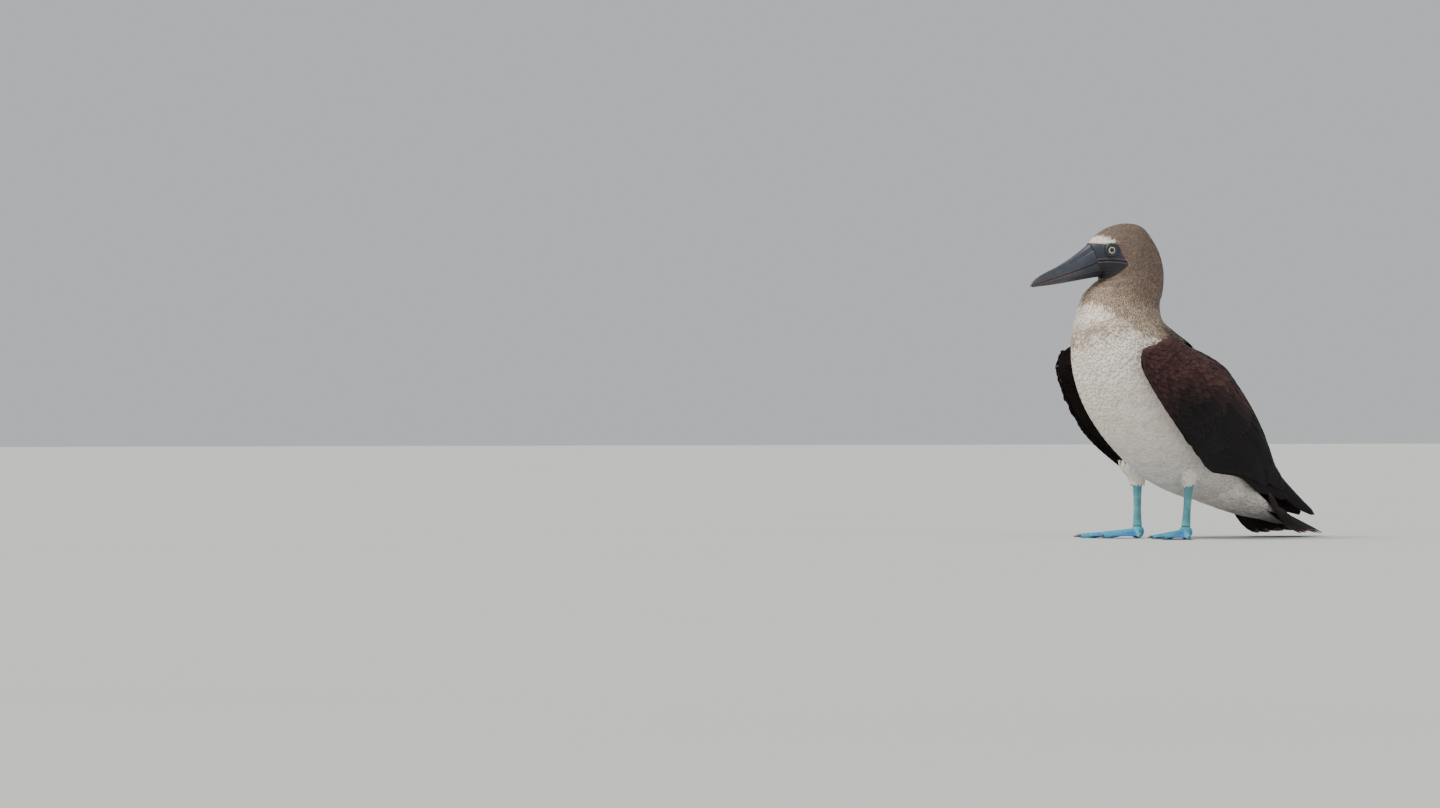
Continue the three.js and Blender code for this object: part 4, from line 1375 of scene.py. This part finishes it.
beside = across[:, None] + dice.normal(0, 0.04, (count, 1)) * shares
lifts = -1.8 + (3.0 + 0.5 * dice.random((count, 1))) * np.minimum(1, shares * 1.4)
back_feathers = plumes(
    "back_feathers", back_surface, along, np.clip(beside, -1.2, 1.2), lifts,
    4.8 * dice.uniform(0.9, 1.1, (count, 1)) * widths, sides=5, ridge=0.35, thick=0.25,
    values={
        "tone": dice.random(count),
        "dark": 0.15 + 0.7 * smooth_step(down, 180, 250),
        "fleck": dice.random(count) * (0.35 + 0.65 * smooth_step(down, 60, 150))
        * (1 - smooth_step(down, 205, 245)),
    },
)
back_feathers.data.materials.append(wing_finish)
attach(back_feathers, "root")

# The tail: a long wedge of stiff, pointed blackish feathers, worn pale at their tips, that
# grow from the rump and overlap from the middle outwards.
TAIL_AHEAD, TAIL_UP = -118, 64
TAIL_FALL = radians(21)
tail_rows = smooth_table(
    [
        # back; half width and how far its edges hang
        [-14, 17, 4],
        [0, 22, 6],
        [30, 34, 14],
        [60, 43, 24],
        [95, 43, 24],
        [130, 31, 13],
        [155, 18, 4],
        [178, 8, 0.5],
    ]
)


def tail_surface(back, across, lift):
    back, across, lift = np.broadcast_arrays(back, across, lift)
    half_width, arch = np.moveaxis(tail_rows(back), -1, 0)
    return np.stack(
        [
            half_width * across,
            back * cos(TAIL_FALL) - TAIL_AHEAD,
            TAIL_UP - back * sin(TAIL_FALL) - arch * across**2 + lift,
        ],
        -1,
    )


tail_finish, paint, shader = new_finish("tail_feathers", 0.7, Specular_IOR_Level=0.2)
tone = paint.value("tone")
across, along = paint.map("Vane")
here = paint.place()
base = tone.mix(colour("171112"), colour("2a201e"))
worn = (along + paint.noise(here, 220, 3.0) * 0.3).step(0.88, 1.08)
base = worn.mix(base, colour("8d7462"))
shaft = 1 - abs(across - 0.5).step(0.012, 0.05)
base = (shaft * 0.5).mix(base, colour("4a3d36"))
barb = (along * 90 + abs(across - 0.5) * 30 + paint.noise(here, 300, 1.0) * 0.8).waves()
base = (abs(across - 0.5).step(0.42, 0.5) * 0.35).mix(base, colour("6b584c"))
connect(paint, shader, Base_Color=base, Normal=(barb * 0.5 + shaft).bump(0.35, 0.0003))
# how far back and how far out the tip of each feather lies, from the middle one on
RECTRICES = [
    [176, 0.22], [169, 0.42], [158, 0.57], [144, 0.69], [128, 0.79], [111, 0.87], [96, 0.92]
]
for which, sign in (("left", 1), ("right", -1)):
    tips = np.array(RECTRICES)
    count = len(tips)
    shares, _ = VANE_SHAPE
    widths = np.array([0.6, 0.85, 1.0, 1.0, 0.94, 0.82, 0.62, 0.36, 0.05])
    start = 2 + 1.5 * np.arange(count)
    along = start[:, None] + (tips[:, :1] - start[:, None]) * shares
    beside = sign * tips[:, 1:] * (0.62 + 0.38 * shares)
    order = np.arange(count)[:, None]
    lifts = -0.5 + (2.6 - 1.1 * order + 0.4 * sign) * np.minimum(1, shares * 2.0)
    piece = plumes(
        "tail_feathers_" + which, tail_surface, along, beside, lifts,
        8.8 * np.ones((count, 1)) * widths, sides=7, ridge=0.45, thick=0.4,
        values={"tone": dice.random(count)},
    )
    piece.data.materials.append(tail_finish)
    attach(piece, "root")
    if which == "left":
        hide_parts("tail")

# The vent: the body's white coat runs on under the tail's root as a cone of long soft
# coverts, which is painted grey as shade and frays out over the dark tail feathers.
vent_rows = smooth_table(
    [
        # place along it; its middle's place behind and height, lean, half width, depth above, below
        [0, 72, 92, 38, 58, 20, 47],
        [1, 92, 79, 33, 50, 18, 38.5],
        [2, 112, 67, 28, 44, 12, 31],
        [3, 132, 55, 24, 40, 8, 24],
        [4, 152, 44, 21, 36, 5, 17],
        [5, 172, 34, 21, 30, 4, 10],
        [6, 190, 26, 21, 22, 3, 5],
        [7, 206, 20, 21, 14, 2, 3],
    ]
)


def vent_surface(down, round_, lift):
    down, round_, lift = np.broadcast_arrays(down, round_, lift)
    behind, up, lean, half, above, below = np.moveaxis(vent_rows(down), -1, 0)
    lean = np.radians(lean)
    out = np.sin(round_) * (np.where(np.sin(round_) > 0, above, below) + lift)
    return np.stack(
        [(half + lift) * np.cos(round_), behind + np.sin(lean) * out, up + np.cos(lean) * out], -1
    )


downs, rounds = np.linspace(0.3, 5.6, 24), np.linspace(0, 2 * pi, 49)[:-1]
vent_skin = ringed_mesh("vent_skin", vent_surface(downs[:, None], rounds, -1.6))
vent_skin.data.materials.append(skin_finish)
# painted shade: the vent's skin greys towards the tail, as if in shadow
point_value(vent_skin, "painted_shade", np.repeat(smooth_step(downs, 0.5, 5), len(rounds)))
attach(vent_skin, "root")
downs, rounds = [], []
down = 0.7
while down < 5.9:
    half, below = vent_rows(down)[[3, 5]]
    number = int(pi * (half + below) / 4.4)
    row = (np.arange(number) + 0.5 * (len(downs) % 2)) / number * 2 * pi
    downs.append(np.full(number, down))
    rounds.append(row)
    down += 0.22
down, round_ = np.concatenate(downs), np.concatenate(rounds)
count = len(down)
down = down + dice.uniform(-0.1, 0.1, count)
shares, widths = PLUME_SHAPE
length = dice.uniform(0.9, 1.3, count) * (22 + 2 * down) / 20
along = down[:, None] + length[:, None] * (shares - 0.2)
slant = dice.normal(0, 0.07, count) + 0.08 * ruffle(vent_surface(down, round_, 0.0))
beside = round_[:, None] + slant[:, None] * shares
lifts = -1.8 + (2.2 + 0.5 * dice.random((count, 1))) * np.minimum(1, shares * 1.3)
vent_feathers = plumes(
    "vent_feathers", vent_surface, along, beside, lifts,
    dice.uniform(2.6, 3.6, (count, 1)) * widths, sides=3, ridge=0.15, thick=0.16,
    values={
        "tone": dice.random(count),
        # painted shade: the coverts grey towards the tail, as if in shadow under it
        "painted_shade": np.clip(
            0.25 + 0.6 * smooth_step(down, 0.5, 5) + dice.normal(0, 0.12, count), 0, 1
        ),
        "smudge": smooth_step(down, 3.4, 5.4) * dice.uniform(0.3, 1.0, count),
        "brown": smooth_step(np.sin(round_), 0.25, 0.5),
    },
)
vent_feathers.data.materials.append(plume_finish)
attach(vent_feathers, "root")

# The legs: short stout shanks of pale turquoise, scaled skin, and feet whose four toes are
# all joined by bright blue webs.
leg_finish, paint, shader = new_finish("leg_skin", 0.42)
here = paint.place()
scales = paint.node(
    "ShaderNodeTexVoronoi", {"feature": "DISTANCE_TO_EDGE"},
    {"Vector": paint.place(scale=(1, 1, 0.8)), "Scale": 520}, "Distance",
)
lines = 1 - scales.step(0.02, 0.16)
mottle = paint.noise(here, 90, 3.0)
base = mottle.step(0.3, 0.7).mix(colour("79b9b6"), colour("569ba2"))
base = (lines * 0.45).mix(base, colour("36737f"))
connect(paint, shader, Base_Color=base, Normal=scales.step(0.0, 0.25).bump(0.5, 0.0004))
foot_finish, paint, shader = new_finish("foot_skin", 0.4)
here = paint.place()
toe_mask = paint.value("toe")
scales = paint.node(
    "ShaderNodeTexVoronoi", {"feature": "DISTANCE_TO_EDGE"},
    {"Vector": here, "Scale": 700}, "Distance",
)
wrinkle = paint.noise(here, 260, 4.0)
lines = 1 - scales.step(0.02, 0.16)
web = wrinkle.step(0.3, 0.75).mix(colour("2377c4"), colour("1a5fa8"))
toe = wrinkle.step(0.3, 0.7).mix(colour("58b4c4"), colour("3c97bd"))
base = toe_mask.mix(web, toe)
base = (lines * 0.3).mix(base, colour("1d5791"))
relief = scales.step(0.0, 0.2) * 0.5 + wrinkle
connect(paint, shader, Base_Color=base, Normal=relief.bump(0.45, 0.0004))
nail_finish, paint, shader = new_finish("claw_horn", 0.35)
nail = paint.noise(paint.place(), 800, 2.0)
connect(paint, shader, Base_Color=nail.step(0.3, 0.7).mix(colour("3c4046"), colour("5d6066")))
TOES = [[-82, 32], [-28, 57], [-2, 75], [23, 74]]
for which, (side, top, bottom, turn) in STANCE.items():
    shank = fused_copy("shank_skin_" + which, ["shank_" + which], 0.0007, 8)
    shank.data.materials.append(leg_finish)
    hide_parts("shank_" + which)
    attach(shank, "root")
    foot = fused_copy("foot_skin_" + which, ["foot_" + which], 0.00075, 4)
    points, _ = mesh_points(foot)
    away = np.full(len(points), 1e3)
    heel = np.array([side, -bottom])
    for toe_turn, length in TOES:
        angle = radians(turn + np.sign(turn) * toe_turn)
        line = np.array([sin(angle), -cos(angle)])
        flat = points[:, :2] - heel
        reach = np.clip(flat @ line, 0, length)
        away = np.minimum(away, np.linalg.norm(flat - reach[:, None] * line, axis=1))
    heel_mask = 1 - smooth_step(np.linalg.norm(points[:, :2] - heel, axis=1), 8, 14)
    point_value(foot, "toe", np.maximum(1 - smooth_step(away, 2.6, 5.5), heel_mask))
    foot.data.materials.append(foot_finish)
    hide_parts("foot_" + which)
    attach(foot, "root")
    for number in range(1, 5):
        node = f"claw_{which}_{number}"
        nail = fused_copy(f"nail_{which}_{number}", [node], 0.00035, 3)
        nail.data.materials.append(nail_finish)
        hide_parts(node)
        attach(nail, "root")

# The studio: a plain pale floor, a large soft key light ahead and above, and a weak fill.
deselect()
bpy.ops.mesh.primitive_plane_add(size=60)
floor = bpy.context.active_object
floor.name = "floor"
floor_finish, paint, shader = new_finish("floor", 0.75)
shade = paint.noise(paint.place(), 1.5, 2.0)
connect(paint, shader, Base_Color=shade.mix(colour("c0c0be"), colour("c5c5c3")))
floor.data.materials.append(floor_finish)
floor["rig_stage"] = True

CAMERA_AZIMUTH = radians(48)
CAMERA_DISTANCE, CAMERA_HEIGHT = 6.5, 0.14
MM_PER_PIXEL = 1.28  # at the bird, in a picture 1440 pixels wide
FOCAL_PIXELS = 5058.9
# the middle of the stance is seen this many pixels to the right of the picture's middle, and
# below it
STANCE_RIGHT, STANCE_BELOW = 443, 134
CAMERA_TURN = atan(STANCE_RIGHT * MM_PER_PIXEL / 1000 / CAMERA_DISTANCE)
CAMERA_TILT = atan(STANCE_BELOW / FOCAL_PIXELS) - atan(CAMERA_HEIGHT / CAMERA_DISTANCE)
camera_data = bpy.data.cameras.new("camera")
camera = bpy.data.objects.new("camera", camera_data)
bpy.context.scene.collection.objects.link(camera)
bpy.context.scene.camera = camera
camera_data.sensor_width = 36
camera_data.lens = camera_data.sensor_width * FOCAL_PIXELS / 1440
camera_data.clip_end = 200
heading = CAMERA_AZIMUTH + CAMERA_TURN
view = Vector((-sin(heading), cos(heading), 0))
view = Vector((view.x * cos(CAMERA_TILT), view.y * cos(CAMERA_TILT), sin(CAMERA_TILT)))
camera.location = (
    ORIGIN[0] + CAMERA_DISTANCE * sin(CAMERA_AZIMUTH),
    ORIGIN[1] - CAMERA_DISTANCE * cos(CAMERA_AZIMUTH),
    CAMERA_HEIGHT,
)
camera.rotation_euler = view.to_track_quat("-Z", "Y").to_euler()


def soft_light(name, place, power, spread, tint):
    light = bpy.data.lights.new(name, "SUN")
    light.energy = power
    light.angle = radians(spread)
    light.color = tint
    lamp = bpy.data.objects.new(name, light)
    bpy.context.scene.collection.objects.link(lamp)
    lamp.location = place
    lamp.rotation_euler = (-Vector(place)).to_track_quat("-Z", "Y").to_euler()


soft_light("key", (-0.5, -2.2, 3.0), 3.7, 28, (1.0, 0.975, 0.93))
soft_light("fill", (3.0, -0.6, 1.2), 0.5, 60, (0.94, 0.97, 1.0))
world = bpy.data.worlds.new("studio")
bpy.context.scene.world = world
world.use_nodes = True
world.node_tree.nodes["Background"].inputs["Color"].default_value = colour("e6eaef")
world.node_tree.nodes["Background"].inputs["Strength"].default_value = 0.68

low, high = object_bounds()
